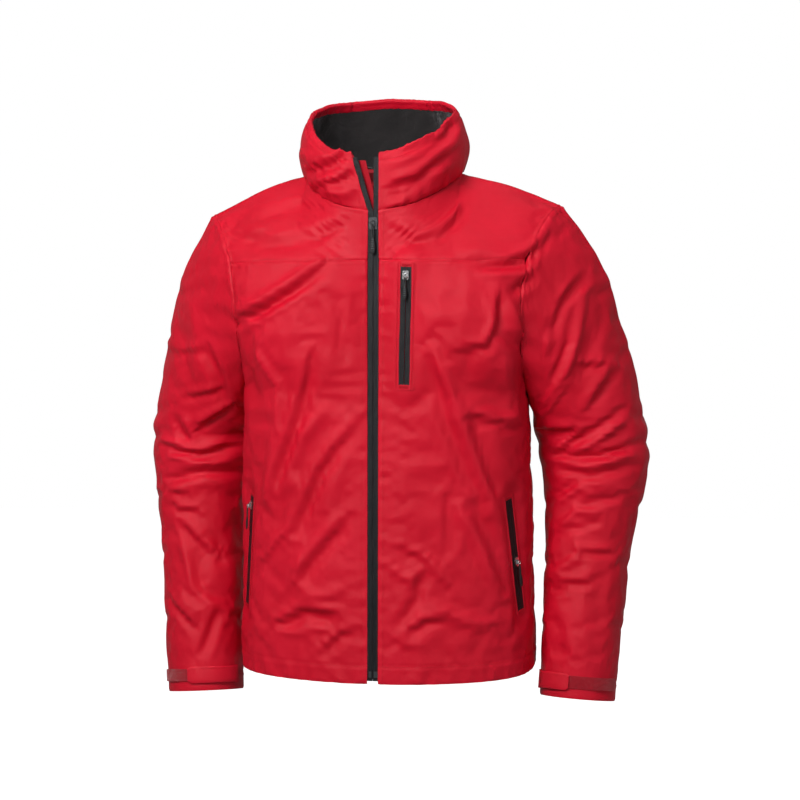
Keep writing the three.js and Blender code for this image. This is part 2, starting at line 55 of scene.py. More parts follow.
# ------------------------------------------------------------------ shape, in mm, from the hem-front datum
LOOP_Y, LOOP_Z = 75.0, 700.0
HEM_HALF, CHEST_HALF, ARM_Z = 208.0, 205.0, 400.0
ZIP_Y0, ZIP_RISE, NECK_Z, COLLAR_FRONT_Z = -140.0, 45.0, 654.0, 733.0
ZIP_HALF, BACK_DEPTH = 7.6, 138.0
NC, NS = 30, 14                # columns over a quarter of the body, of which over the neck
NECK_S = NS / NC
R1, R2, R3 = 44, 21, 12        # rows: hem to underarm, to yoke, to shoulder


def frm(p):
    """mm from the datum to metres in the row frame"""
    p = np.asarray(p, float)
    return (p - np.array([0.0, LOOP_Y, LOOP_Z])) / 1000.0


def zip_y(z):
    return ZIP_Y0 + ZIP_RISE * z / 655.0


def lerp(a, b, t):
    return a + (b - a) * t


def spow(a, p):
    return math.copysign(abs(a) ** p, a)


class Curve:
    """open centripetal spline through points"""

    def __init__(self, pts):
        self.p = [np.array(q, float) for q in pts]

    def at(self, t):
        p, n = self.p, len(self.p)
        x = min(max(t, 0.0), 1.0) * (n - 1)
        i = min(int(x), n - 2)
        w = x - i
        p1, p2 = p[i], p[i + 1]
        p0 = p[i - 1] if i > 0 else 2 * p1 - p2
        p3 = p[i + 2] if i + 2 < n else 2 * p2 - p1
        d0, d1, d2 = [max(np.linalg.norm(a - b) ** 0.5, 1e-4) for a, b in ((p0, p1), (p1, p2), (p2, p3))]
        t1 = ((p1 - p0) / d0 - (p2 - p0) / (d0 + d1) + (p2 - p1) / d1) * d1
        t2 = ((p2 - p1) / d1 - (p3 - p1) / (d1 + d2) + (p3 - p2) / d2) * d1
        return p1 + t1 * w + (-3 * p1 + 3 * p2 - 2 * t1 - t2) * w ** 2 + (2 * p1 - 2 * p2 + t1 + t2) * w ** 3


def bulge(z):
    return 17 * math.exp(-(((z - 450) / 150) ** 2))


def half_w(z):
    return lerp(HEM_HALF, 204, math.sin(math.pi / 2 * z / 250)) if z < 250 else lerp(204, CHEST_HALF, (z - 250) / 150)


def front_ring(s, z):
    a = half_w(z)
    f = lerp(math.asin((ZIP_HALF / a) ** (1 / 0.9)), math.pi / 2, s)
    c = max(math.cos(f), 0.0)
    return np.array([a * spow(math.sin(f), 0.9), (zip_y(z) - 2.5) * c ** 0.8 - bulge(z) * math.sin(2 * f) * (s < 1), z])


def back_ring(s, z):
    a, f = half_w(z), s * math.pi / 2
    return np.array([a * spow(math.sin(f), 0.85), lerp(132, BACK_DEPTH, min(1, z / 300)) * max(math.cos(f), 0) ** 0.8, z])


arm_fl = Curve([[205, 0, 400], [203, -45, 432], [203, -72, 480], [206, -80, 530], [214, -70, 585]])
arm_fh = Curve([[214, -70, 585], [228, -48, 622], [243, -20, 647], [255, 5, 657]])
arm_bl = Curve([[205, 0, 400], [204, 45, 432], [206, 72, 480], [210, 86, 530], [216, 84, 585]])
arm_bh = Curve([[216, 84, 585], [229, 62, 622], [244, 32, 647], [255, 5, 657]])
yoke_f = Curve([[ZIP_HALF, zip_y(585) - 2.5, 585], [60, -113, 585], [120, -106, 585], [172, -90, 585], [214, -70, 585]])
yoke_b = Curve([[0, 130, 585], [70, 128, 585], [150, 112, 585], [216, 84, 585]])
neck_f = Curve([[ZIP_HALF, zip_y(NECK_Z) - 2.5, NECK_Z], [50, -88, 662], [88, -56, 680], [108, -22, 697], [113, 4, 706]])
neck_b = Curve([[0, 82, 712], [55, 74, 712], [95, 42, 711], [113, 4, 706]])
rim_f = Curve([[ZIP_HALF, zip_y(COLLAR_FRONT_Z) - 2.5, COLLAR_FRONT_Z], [46, -88, 741], [82, -60, 762], [101, -24, 783], [105, 8, 797]])
rim_b = Curve([[0, 90, 818], [54, 82, 814], [90, 46, 807], [105, 8, 797]])
S0, S1 = np.array([113.0, 4, 706]), np.array([255.0, 5, 657])


def shoulder(t):
    return S0 + (S1 - S0) * t + np.array([0, 0, 5 * math.sin(math.pi * t)])


def top_f(s):
    return neck_f.at(s / NECK_S) if s < NECK_S - 1e-9 else shoulder((s - NECK_S) / (1 - NECK_S))


def top_b(s):
    return neck_b.at(s / NECK_S) if s < NECK_S - 1e-9 else shoulder((s - NECK_S) / (1 - NECK_S))


def coons(B, T, L, R, u, v):
    return (B(u) * (1 - v) + T(u) * v + L(v) * (1 - u) + R(v) * u
            - (B(0) * (1 - u) * (1 - v) + B(1) * u * (1 - v) + T(0) * (1 - u) * v + T(1) * u * v))


def zip_edge(z):
    return np.array([ZIP_HALF, zip_y(z) - 2.5, z])


def front_pt(s, v):
    if v <= 1:
        return front_ring(s, lerp(0, ARM_Z, v))
    if v <= 2:
        return coons(lambda u: front_ring(u, ARM_Z), yoke_f.at, lambda t: zip_edge(lerp(ARM_Z, 585, t)), arm_fl.at, s, v - 1)
    return coons(yoke_f.at, top_f, lambda t: zip_edge(lerp(585, NECK_Z, t)), arm_fh.at, s, v - 2)


up_mid = Curve([[0, 130, 585], [0, 120, 640], [0, 100, 685], [0, 82, 712]])


def back_pt(s, v):
    if v <= 1:
        return back_ring(s, lerp(0, ARM_Z, v))
    if v <= 2:
        return coons(lambda u: back_ring(u, ARM_Z), yoke_b.at, lambda t: np.array([0, lerp(BACK_DEPTH, 130, t), lerp(ARM_Z, 585, t)]), arm_bl.at, s, v - 1)
    return coons(yoke_b.at, top_b, up_mid.at, arm_bh.at, s, v - 2)


VROWS = np.concatenate([np.linspace(0, 1, R1 + 1), np.linspace(1, 2, R2 + 1)[1:], np.linspace(2, 3, R3 + 1)[1:]])
NR = len(VROWS)
COLS = np.linspace(0, 1, NC + 1)
MIR = np.array([-1.0, 1, 1])
G = {}
G["FL"] = np.array([[front_pt(s, v) for v in VROWS] for s in COLS])
G["BL"] = np.array([[back_pt(s, v) for v in VROWS] for s in COLS])
G["FR"], G["BR"] = G["FL"] * MIR, G["BL"] * MIR


def lean(z):
    return max(0.0, z - (NECK_Z - 2)) * 0.30


CROWS = 14


def collar(low, high, front, opened):
    out = []
    for i in range(NS + 1):
        a = i / NS
        lo, hi = low.at(a), high.at(a)
        col = []
        for j in range(CROWS + 1):
            v = j / CROWS
            p = lo + (hi - lo) * v
            d = np.array([p[0], p[1] + 5, 0.0])
            d /= np.linalg.norm(d)
            p = p + d * 13 * math.sin(math.pi * v) ** 0.8 * min(1, a * 2.2 + (0 if front else 1))
            if opened:
                p[0] += lean(p[2]) * (1 - a) ** 2.2
            col.append(p)
        out.append(col)
    return np.array(out)


G["CFL"] = collar(neck_f, rim_f, True, False)
G["CFR"] = collar(neck_f, rim_f, True, True) * MIR
G["CBL"] = collar(neck_b, rim_b, False, False)
G["CBR"] = G["CBL"] * MIR

# sleeves: one ring of columns from the shoulder point down the front, under the arm and up the back
ARM0 = R1
SU, SL = 36, 44


def circle(c, r, d, n):
    d = np.array(d, float); d /= np.linalg.norm(d)
    x = np.array([1.0, 0, 0]) - d * d[0]; x /= np.linalg.norm(x)
    y = np.cross(d, x)
    if y[1] > 0:
        y = -y
    a = 2 * np.pi * np.arange(n) / n
    return np.array(c) + np.outer(np.cos(a), x) * r + np.outer(np.sin(a), y) * r


def sleeve():
    f = G["FL"][NC, ARM0:][::-1]
    b = G["BL"][NC, ARM0:]
    ring = np.concatenate([f, b[1:-1]])
    n = len(ring)
    e = circle([285, 70, 335], 77, [0.05, 0.1, -1], n)
    o = np.maximum(0, np.cos(2 * np.pi * np.arange(n) / n))
    rows = []
    for k in range(SU + 1):
        t = k / SU
        p = ring * (1 - t) + e * t
        p[:, 0] += 22 * o * 4 * t * (1 - t)
        p[:, 2] += 8 * o * 4 * t * (1 - t)
        rows.append(p)
    keys = [(335, [285, 70, 335], 77, [0.05, 0.1, -1]), (285, [286, 66, 285], 74, [0, -0.05, -1]), (232, [285, 56, 232], 67, [0, -0.15, -1]),
            (180, [283, 46, 180], 62, [-0.02, -0.2, -1]), (120, [280, 32, 120], 60.5, [-0.03, -0.22, -1]), (45, [276, 18, 45], 58, [-0.05, -0.22, -1]), (-46, [272, 4, -46], 57, [-0.06, -0.2, -1])]
    zs = np.linspace(335, -46, SL + 1)[1:]
    kz = np.array([k[0] for k in keys])[::-1]
    cc = np.array([k[1] for k in keys])[::-1]
    rr = np.array([k[2] for k in keys])[::-1]
    dd = np.array([k[3] for k in keys])[::-1]
    for z in zs:
        c = [np.interp(z, kz, cc[:, i]) for i in range(3)]
        rows.append(circle(c, np.interp(z, kz, rr), [np.interp(z, kz, dd[:, i]) for i in range(3)], n))
    return np.array(rows).transpose(1, 0, 2)     # columns round, rows down


G["SL"] = sleeve()
G["SR"] = G["SL"] * MIR
NRING = G["SL"].shape[0]

# how the hanging cloth stands off the plain form: outward shift of each sleeve's outer edge by height, in mm
OUT_R = ([-46, 43, 93, 143, 193, 243, 293, 343, 393, 443, 493, 543, 600], [5, 6, 7, 7, 8, 10, 7, 3, -2, -7, -7, -1, 2])
OUT_L = ([-46, 43, 93, 143, 193, 243, 293, 343, 393, 443, 493, 543, 590, 640], [3, 5, 8, 6, 11, 17, 17, 11, 5, 1, 0, 8, 9, 2])
DROP = {"R": 14.0, "L": 9.0, "": 8.0}


def hang_warp(P, arm):
    P = P.copy()
    x, z = P[..., 0], P[..., 2].copy()
    sgn = np.sign(x)
    ax = np.abs(x)
    t = np.clip((ax - 90) / 110, 0, 1)
    body = 8.0 * t * t * (3 - 2 * t) * np.clip((400 - z) / 150, 0, 1)
    if arm is None:
        P[..., 0] = x + sgn * body
        P[..., 2] = z - DROP[""] * np.clip(1 - z / 300, 0, 1.1) ** 2
        return P
    zs, vs = OUT_L if arm == "L" else OUT_R
    edge = np.interp(z, zs, vs) * 1.0
    t = np.clip((ax - 205) / 135, 0, 1)
    P[..., 0] = x + sgn * (body * (1 - t) + edge * t)
    P[..., 2] = z - DROP[arm] * np.clip((335 - z) / 381, 0, 1.1)
    return P


for k in ("FL", "FR", "BL", "BR"):
    G[k] = hang_warp(G[k], None)
for k, a in (("SL", "L"), ("SR", "R")):
    g = hang_warp(G[k], a)
    f = np.clip(np.arange(g.shape[1]) / 4.0, 0, 1)[None, :, None]
    G[k] = G[k] * (1 - f) + g * f

def shoulder_drop(P):
    P = P.copy()
    t = np.clip((np.abs(P[..., 0]) - 130) / 120, 0, 1)
    u = np.clip((P[..., 2] - 520) / 110, 0, 1)
    P[..., 2] -= t * t * (3 - 2 * t) * u * u * (3 - 2 * u) * np.where(P[..., 0] < 0, 9.0, -1.5)
    return P


for k in ("FL", "FR", "BL", "BR", "SL", "SR"):
    G[k] = shoulder_drop(G[k])

# ------------------------------------------------------------------ one welded mesh index over every grid
ORDER = ["FL", "FR", "BL", "BR", "CFL", "CFR", "CBL", "CBR", "SL", "SR"]
allp = np.concatenate([G[k].reshape(-1, 3) for k in ORDER])
key = np.round(allp / 0.05).astype(np.int64)
from mathutils.kdtree import KDTree
kd = KDTree(len(allp))
for i, p in enumerate(allp):
    kd.insert(p, i)
kd.balance()
rep = np.arange(len(allp))
for i, p in enumerate(allp):
    if rep[i] == i:
        for _, j, _ in kd.find_range(p, 0.3):
            if j > i:
                rep[j] = i
uniq, inv = np.unique(rep, return_inverse=True)
IDX, at = {}, 0
for k in ORDER:
    n = G[k].shape[0] * G[k].shape[1]
    IDX[k] = inv[at:at + n].reshape(G[k].shape[:2])
    at += n
VERT = allp[uniq].copy()
CLOSED = {"SL", "SR"}
# True where the grid's own order already faces outwards
FACE_OUT = {"FL": True, "FR": False, "BL": False, "BR": True, "CFL": True, "CFR": False, "CBL": False, "CBR": True, "SL": True, "SR": False}


def quads(k):
    ix = IDX[k]
    if k in CLOSED:
        ix = np.vstack([ix, ix[:1]])
    a, b, c, d = ix[:-1, :-1], ix[1:, :-1], ix[1:, 1:], ix[:-1, 1:]
    q = np.stack([a, b, c, d], -1).reshape(-1, 4)
    return q if FACE_OUT[k] else q[:, ::-1]


QUADS = np.concatenate([quads(k) for k in ORDER])


def vertex_normals(V, Q):
    n = np.cross(V[Q[:, 2]] - V[Q[:, 0]], V[Q[:, 3]] - V[Q[:, 1]])
    out = np.zeros_like(V)
    for i in range(4):
        np.add.at(out, Q[:, i], n)
    return out / np.maximum(np.linalg.norm(out, axis=1, keepdims=True), 1e-9)

# ------------------------------------------------------------------ folds
# (kind, part, points (x, z) in mm, width, depth). R ridge, V valley, D turned down, B turned up
FOLDS = [
    ('D', 'body', [(-199, 622), (-138, 615), (-86, 623), (-54, 637)], 9.8, 5),
    ('R', 'body', [(-196, 637), (-131, 641), (-72, 648)], 8.4, 3),
    ('D', 'body', [(-180, 650), (-120, 665), (-86, 661)], 8.4, 3),
    ('V', 'body', [(-42, 615), (-68, 596), (-94, 580)], 4.2, 1.8),
    ('D', 'body', [(-72, 579), (-114, 547), (-156, 523), (-199, 504)], 9.8, 6.5),
    ('B', 'body', [(-103, 540), (-151, 512), (-190, 495)], 7.0, 2.5),
    ('V', 'body', [(-156, 505), (-179, 480), (-189, 434), (-179, 393)], 12.6, 6),
    ('R', 'body', [(-168, 457), (-138, 412)], 7.0, 3.5),
    ('R', 'body', [(-135, 409), (-141, 348), (-151, 292), (-156, 240)], 9.8, 5.5),
    ('R', 'body', [(-69, 377), (-99, 342), (-123, 292), (-149, 237)], 9.8, 5),
    ('D', 'body', [(-90, 443), (-113, 358), (-137, 292), (-151, 251)], 9.8, 5),
    ('R', 'body', [(-125, 209), (-148, 184), (-166, 159)], 4.9, 4),
    ('R', 'body', [(-117, 284), (-118, 247), (-127, 209)], 7.0, 3.5),
    ('D', 'body', [(-18, 362), (-52, 324), (-78, 290), (-96, 251), (-114, 206)], 9.8, 4.5),
    ('R', 'body', [(-30, 330), (-54, 269), (-68, 223)], 14.0, 3),
    ('D', 'body', [(-42, 220), (-86, 171), (-111, 137)], 11.2, 5),
    ('R', 'body', [(-113, 126), (-85, 114), (-47, 120)], 8.4, 3.5),
    ('D', 'body', [(-134, 73), (-100, 94), (-52, 87)], 9.8, 5),
    ('B', 'body', [(-138, 64), (-86, 71), (-47, 80)], 7.0, 3),
    ('D', 'body', [(-68, 39), (-44, 64), (-18, 71)], 7.0, 4),
    ('R', 'body', [(-103, 167), (-108, 131)], 8.4, 3),
    ('V', 'body', [(-78, 529), (-86, 466)], 19.6, 2),
    ('R', 'body', [(-30, 557), (-32, 418)], 16.8, 1.5),
    ('V', 'body', [(-44, 529), (-41, 431)], 8.4, 1.5),
    ('V', 'body', [(13, 622), (35, 607), (55, 587)], 4.2, 1.6),
    ('V', 'body', [(11, 612), (24, 598), (37, 582)], 3.5, 1.2),
    ('D', 'body', [(29, 634), (59, 615), (89, 618), (111, 639), (121, 661)], 7.0, 4),
    ('R', 'body', [(55, 637), (94, 637), (115, 657)], 7.0, 2.5),
    ('D', 'body', [(127, 590), (186, 583), (224, 597), (253, 629)], 8.4, 5),
    ('B', 'body', [(158, 572), (212, 571), (242, 612)], 7.0, 4),
    ('V', 'body', [(196, 540), (212, 551), (231, 558)], 7.0, 5),
    ('V', 'body', [(176, 534), (183, 480), (201, 462)], 8.4, 4.5),
    ('R', 'body', [(194, 518), (210, 457)], 7.0, 5),
    ('D', 'body', [(127, 462), (159, 466), (174, 498), (176, 533)], 7.0, 3.5),
    ('V', 'body', [(131, 457), (144, 411), (179, 376)], 14.0, 3.5),
    ('R', 'body', [(182, 452), (194, 351)], 11.2, 4.5),
    ('D', 'body', [(136, 370), (172, 359), (196, 351)], 8.4, 4),
    ('R', 'body', [(86, 459), (118, 386), (146, 302), (167, 231)], 9.8, 6),
    ('V', 'body', [(82, 448), (101, 366), (129, 292), (153, 245)], 8.4, 3.5),
    ('V', 'body', [(142, 365), (156, 292), (183, 248)], 12.6, 4),
    ('V', 'body', [(105, 251), (111, 184)], 8.4, 2.5),
    ('R', 'body', [(118, 244), (148, 184), (169, 126)], 9.8, 4),
    ('V', 'body', [(142, 240), (167, 181), (183, 123)], 9.8, 3.5),
    ('D', 'body', [(44, 183), (73, 167), (103, 128)], 7.0, 3.5),
    ('R', 'body', [(17, 162), (53, 138), (73, 158), (98, 127)], 5.6, 4),
    ('V', 'body', [(70, 149), (63, 112), (38, 73)], 8.4, 4.5),
    ('R', 'body', [(89, 98), (122, 84), (151, 74)], 9.8, 4),
    ('D', 'body', [(52, 71), (73, 81), (94, 85)], 8.4, 4),
    ('R', 'body', [(38, 56), (73, 49)], 8.4, 2.5),
    ('V', 'body', [(15, 35), (38, 56)], 5.6, 2.5),
    ('V', 'body', [(31, 362), (52, 344)], 5.6, 2),
    ('R', 'body', [(27, 320), (59, 223)], 19.6, 2.5),
    ('V', 'body', [(-23, 394), (-11, 398)], 3.1, 1.3),
    ('V', 'body', [(7, 388), (22, 395)], 3.1, 1.3),
    ('V', 'body', [(-23, 377), (-11, 381)], 3.1, 1.3),
    ('V', 'body', [(7, 372), (22, 379)], 3.1, 1.3),
    ('V', 'body', [(-23, 358), (-11, 362)], 3.1, 1.3),
    ('V', 'body', [(7, 352), (22, 359)], 3.1, 1.3),
    ('V', 'body', [(-23, 340), (-11, 344)], 3.1, 1.3),
    ('V', 'body', [(7, 334), (22, 341)], 3.1, 1.3),
    ('V', 'body', [(-23, 322), (-11, 326)], 3.1, 1.3),
    ('V', 'body', [(7, 316), (22, 323)], 3.1, 1.3),
    ('V', 'body', [(-23, 302), (-11, 306)], 3.1, 1.3),
    ('V', 'body', [(7, 297), (22, 304)], 3.1, 1.3),
    ('V', 'body', [(-23, 283), (-11, 287)], 3.1, 1.3),
    ('V', 'body', [(7, 277), (22, 284)], 3.1, 1.3),
    ('V', 'body', [(-23, 262), (-11, 266)], 3.1, 1.3),
    ('V', 'body', [(7, 256), (22, 263)], 3.1, 1.3),
    ('D', 'arm', [(-336, 311), (-281, 301), (-221, 314)], 7.0, 6),
    ('R', 'arm', [(-325, 294), (-263, 282), (-227, 291)], 7.0, 5),
    ('V', 'arm', [(-328, 260), (-269, 272), (-224, 266)], 6.3, 5.5),
    ('R', 'arm', [(-322, 244), (-273, 254), (-232, 248)], 8.4, 3),
    ('D', 'arm', [(-291, 386), (-247, 395)], 7.0, 3.5),
    ('D', 'arm', [(-276, 341), (-233, 369)], 7.0, 4.5),
    ('R', 'arm', [(-284, 349), (-248, 370)], 7.0, 3.5),
    ('V', 'arm', [(-315, 349), (-300, 316)], 6.3, 4),
    ('R', 'arm', [(-299, 354), (-285, 320)], 6.3, 3.5),
    ('V', 'arm', [(-248, 308), (-221, 328)], 8.4, 5),
    ('V', 'arm', [(-300, 478), (-296, 420)], 9.8, 3),
    ('R', 'arm', [(-285, 522), (-273, 478), (-269, 405)], 11.2, 3),
    ('D', 'arm', [(-310, 449), (-266, 456)], 7.0, 2.5),
    ('V', 'arm', [(-258, 456), (-242, 417), (-238, 379)], 8.4, 5),
    ('D', 'arm', [(-322, 241), (-299, 238)], 4.9, 3),
    ('D', 'arm', [(-316, 219), (-279, 212)], 5.6, 3.5),
    ('R', 'arm', [(-302, 199), (-269, 182)], 7.0, 3),
    ('D', 'arm', [(-296, 184), (-260, 153)], 7.0, 3.5),
    ('R', 'arm', [(-306, 171), (-296, 138), (-287, 106)], 7.0, 4),
    ('V', 'arm', [(-279, 159), (-275, 97), (-242, 86)], 12.6, 4),
    ('R', 'arm', [(-291, 106), (-251, 71)], 7.0, 4),
    ('D', 'arm', [(-318, 78), (-285, 48)], 7.0, 3.5),
    ('R', 'arm', [(-307, 89), (-275, 62)], 7.0, 2.5),
    ('V', 'arm', [(-250, 65), (-260, 36), (-269, 7)], 7.0, 4),
    ('V', 'arm', [(-233, 200), (-227, 141)], 8.4, 3),
    ('R', 'arm', [(-239, 141), (-233, 97)], 8.4, 3),
    ('V', 'arm', [(-254, 171), (-248, 134)], 7.0, 2.5),
    ('V', 'arm', [(289, 555), (259, 522), (242, 478)], 7.0, 5),
    ('R', 'arm', [(264, 544), (249, 508), (237, 456)], 5.6, 4),
    ('R', 'arm', [(288, 537), (280, 478), (259, 410), (228, 364)], 7.0, 5.5),
    ('V', 'arm', [(270, 470), (247, 417)], 4.9, 3),
    ('V', 'arm', [(265, 417), (231, 369)], 4.2, 2.5),
    ('V', 'arm', [(301, 478), (289, 417)], 9.8, 4),
    ('D', 'arm', [(283, 434), (316, 434)], 7.0, 4),
    ('D', 'arm', [(329, 426), (295, 377)], 8.4, 5),
    ('R', 'arm', [(319, 446), (339, 417)], 8.4, 3),
    ('R', 'arm', [(348, 357), (308, 326), (273, 304)], 5.6, 5.5),
    ('V', 'arm', [(344, 367), (293, 332)], 5.6, 4),
    ('D', 'arm', [(286, 336), (249, 306)], 6.3, 4.5),
    ('D', 'arm', [(231, 339), (276, 341)], 8.4, 4),
    ('V', 'arm', [(234, 301), (308, 301), (369, 317)], 5.6, 6),
    ('R', 'arm', [(276, 282), (313, 292), (354, 303)], 5.6, 4.5),
    ('V', 'arm', [(253, 279), (298, 273), (360, 285)], 5.6, 4),
    ('R', 'arm', [(243, 229), (279, 254), (319, 264)], 5.6, 4),
    ('V', 'arm', [(247, 241), (276, 264)], 5.6, 3),
    ('R', 'arm', [(283, 243), (328, 259), (350, 254)], 5.6, 3.5),
    ('V', 'arm', [(286, 232), (339, 241)], 4.9, 3),
    ('R', 'arm', [(249, 193), (279, 223), (316, 219)], 5.6, 3.5),
    ('V', 'arm', [(256, 190), (310, 207)], 4.9, 3),
    ('R', 'arm', [(237, 128), (279, 155), (280, 177)], 7.0, 3.5),
    ('D', 'arm', [(280, 163), (329, 166)], 5.6, 3.5),
    ('D', 'arm', [(243, 115), (302, 127)], 7.0, 3.5),
    ('V', 'arm', [(313, 141), (307, 53)], 12.6, 2.5),
    ('R', 'arm', [(276, 97), (283, 9)], 19.6, 2),
    ('V', 'arm', [(247, 68), (256, 9)], 9.8, 2.5),
]

BACK_FOLDS = [
    ('D', 'body', [(-196, 486), (-132, 522), (-84, 530)], 11, 3.5), ('D', 'body', [(188, 512), (140, 540), (96, 548)], 9, 3),
    ('V', 'body', [(-52, 690), (-74, 646), (-104, 606)], 8, 2.5), ('V', 'body', [(66, 694), (92, 640), (108, 588)], 8, 2.5),
    ('R', 'body', [(-158, 452), (-128, 350), (-104, 236)], 14, 3.5), ('R', 'body', [(142, 430), (122, 300), (84, 206)], 13, 4),
    ('V', 'body', [(-182, 400), (-158, 310), (-140, 214)], 12, 3.5), ('V', 'body', [(180, 384), (158, 290), (132, 230)], 12, 3.5),
    ('R', 'body', [(-24, 470), (-36, 350), (-18, 250)], 16, 3), ('V', 'body', [(38, 400), (22, 300), (30, 190)], 13, 3),
]
_r = np.random.default_rng(23)
for _i in range(22):
    cx_, cz_ = _r.uniform(-180, 180), _r.uniform(30, 560)
    a_ = _r.normal(0.2 if cx_ > 0 else 2.9, 0.55)
    l_ = _r.uniform(28, 62)
    b_ = _r.uniform(-9, 9)
    BACK_FOLDS.append((str(_r.choice(['D', 'V', 'R'])), 'body', [(cx_ - l_ * math.cos(a_), cz_ - l_ * math.sin(a_)), (cx_ - b_ * math.sin(a_), cz_ + b_ * math.cos(a_)), (cx_ + l_ * math.cos(a_), cz_ + l_ * math.sin(a_))], _r.uniform(7, 12), _r.uniform(1.4, 3.4)))
for _k in (-1, 1):
    for _i in range(20):
        cz_ = _r.uniform(-20, 560) if _i % 2 else _r.normal(320, 45)
        cx_ = _k * (np.interp(cz_, [-46, 335, 560], [276, 285, 250]) + _r.uniform(-38, 38))
        a_ = _r.normal(0.0, 0.42)
        l_ = _r.uniform(20, 46)
        b_ = _r.uniform(-7, 7)
        BACK_FOLDS.append((str(_r.choice(['D', 'V', 'R'])), 'arm', [(cx_ - l_ * math.cos(a_), cz_ - l_ * math.sin(a_)), (cx_ - b_ * math.sin(a_), cz_ + b_ * math.cos(a_)), (cx_ + l_ * math.cos(a_), cz_ + l_ * math.sin(a_))], _r.uniform(6, 10), _r.uniform(1.6, 4.0)))
# outer and inner faces of the sleeves and the sides, in (y, z)
SIDE_FOLDS = [
    ('D', [(-60, 560), (0, 540), (60, 555)], 9, 4), ('D', [(-50, 470), (20, 450), (90, 470)], 9, 5), ('V', [(-20, 370), (60, 350), (140, 380)], 8, 6),
    ('R', [(-20, 350), (70, 328), (140, 345)], 7, 6), ('V', [(-15, 330), (60, 312), (130, 322)], 7, 6), ('R', [(-10, 300), (60, 290), (120, 300)], 7, 4),
    ('D', [(0, 240), (60, 225), (110, 240)], 8, 4), ('D', [(-10, 160), (40, 140), (90, 160)], 8, 3.5), ('D', [(-30, 70), (20, 50), (70, 66)], 8, 3),
    ('R', [(40, 520), (50, 430), (80, 380)], 10, 4), ('V', [(10, 280), (30, 180), (10, 90)], 9, 3),
]


def fold_field(P, folds, ax):
    """displacement of points P (n, 2 used axes) from a list of folds"""
    out = np.zeros(len(P))
    for pts, kind, w, a in folds:
        q = np.array(pts, float)
        lo, hi = q.min(0) - 3.2 * w, q.max(0) + 3.2 * w
        m = np.where(((P >= lo) & (P <= hi)).all(1))[0]
        if not len(m):
            continue
        p = P[m]
        best = np.full(len(p), 1e9)
        sign = np.zeros(len(p))
        along = np.zeros(len(p))
        L = np.concatenate([[0], np.cumsum(np.linalg.norm(np.diff(q, axis=0), axis=1))])
        for i in range(len(q) - 1):
            d = q[i + 1] - q[i]
            l = np.linalg.norm(d)
            t = np.clip(((p - q[i]) @ d) / l ** 2, 0, 1)
            r = p - q[i] - t[:, None] * d
            dist = np.linalg.norm(r, axis=1)
            nrm = np.array([-d[1], d[0]]) / l
            if nrm @ np.array([-0.35, 1.0]) < 0:
                nrm = -nrm
            s = np.sign(r @ nrm)
            b = dist < best
            best[b], sign[b], along[b] = dist[b], s[b], (L[i] + t[b] * l) / L[-1]
        x = best / w
        taper = np.clip(np.minimum(along, 1 - along) * 4 + 0.45, 0, 1)
        if kind == 'R':
            h = np.exp(-x ** 2)
        elif kind == 'V':
            h = -np.exp(-x ** 2) + 0.25 * np.exp(-((x - 1.8) / 0.8) ** 2)
        else:
            h = 1.9 * sign * x * np.exp(-x ** 2 * 0.9)
            if kind == 'B':
                h = -h
        out[m] += a * taper * h
    return out


def smooth(e0, e1, x):
    t = np.clip((x - e0) / (e1 - e0), 0, 1)
    return t * t * (3 - 2 * t)


ARMW = np.zeros(len(VERT))
for k in ("SL", "SR"):
    for r in range(IDX[k].shape[1]):
        ARMW[IDX[k][:, r]] = min(1.0, r / 4)
COLLARV = np.zeros(len(VERT), bool)
for k in ("CFL", "CFR", "CBL", "CBR"):
    COLLARV[IDX[k].ravel()] = True
N0 = vertex_normals(VERT, QUADS)
XZ, YZ = VERT[:, [0, 2]], VERT[:, [1, 2]]
fb = [(p, k, w, a) for k, r, p, w, a in FOLDS if r == 'body']
fa = [(p, k, w, a) for k, r, p, w, a in FOLDS if r == 'arm']
bb = [(p, k, w, a) for k, r, p, w, a in BACK_FOLDS if r == 'body']
ba = [(p, k, w, a) for k, r, p, w, a in BACK_FOLDS if r == 'arm']
ss = [(p, k, w, a) for k, p, w, a in SIDE_FOLDS]
facef, faceb = smooth(0.0, 0.45, -N0[:, 1]), smooth(0.0, 0.45, N0[:, 1])
faces = smooth(0.55, 0.9, np.abs(N0[:, 0])) * ARMW
DISP = np.zeros(len(VERT))
nb = ~COLLARV
GAIN = 0.98
DISP += facef * (fold_field(XZ, fb, 0) * (1 - ARMW) + fold_field(XZ, fa, 0) * ARMW)
DISP += faceb * (fold_field(XZ, bb, 0) * (1 - ARMW) + fold_field(XZ, ba, 0) * ARMW)
DISP += faces * 0.35 * fold_field(YZ * np.array([1.0, 1.0]), ss, 0)
DISP *= GAIN * (1 - 0.30 * ARMW * smooth(0.35, 0.85, np.abs(N0[:, 0])))
DISP[COLLARV] = 0


def soft_noise(P, scale, seed, octaves=3):
    r = np.random.default_rng(seed)
    out, amp, f = np.zeros(len(P)), 1.0, 1.0 / scale
    for _ in range(octaves):
        for _ in range(5):
            d = r.normal(size=3); d /= np.linalg.norm(d)
            out += amp * np.sin(P @ d * f * 2 * np.pi + r.uniform(0, 6.28)) / 5
        amp *= 0.55; f *= 1.9
    return out


DISP += nb * 1.5 * soft_noise(VERT, 130, 3) + nb * 0.35 * soft_noise(VERT * np.array([1, 1, 0.6]), 38, 5, 2)

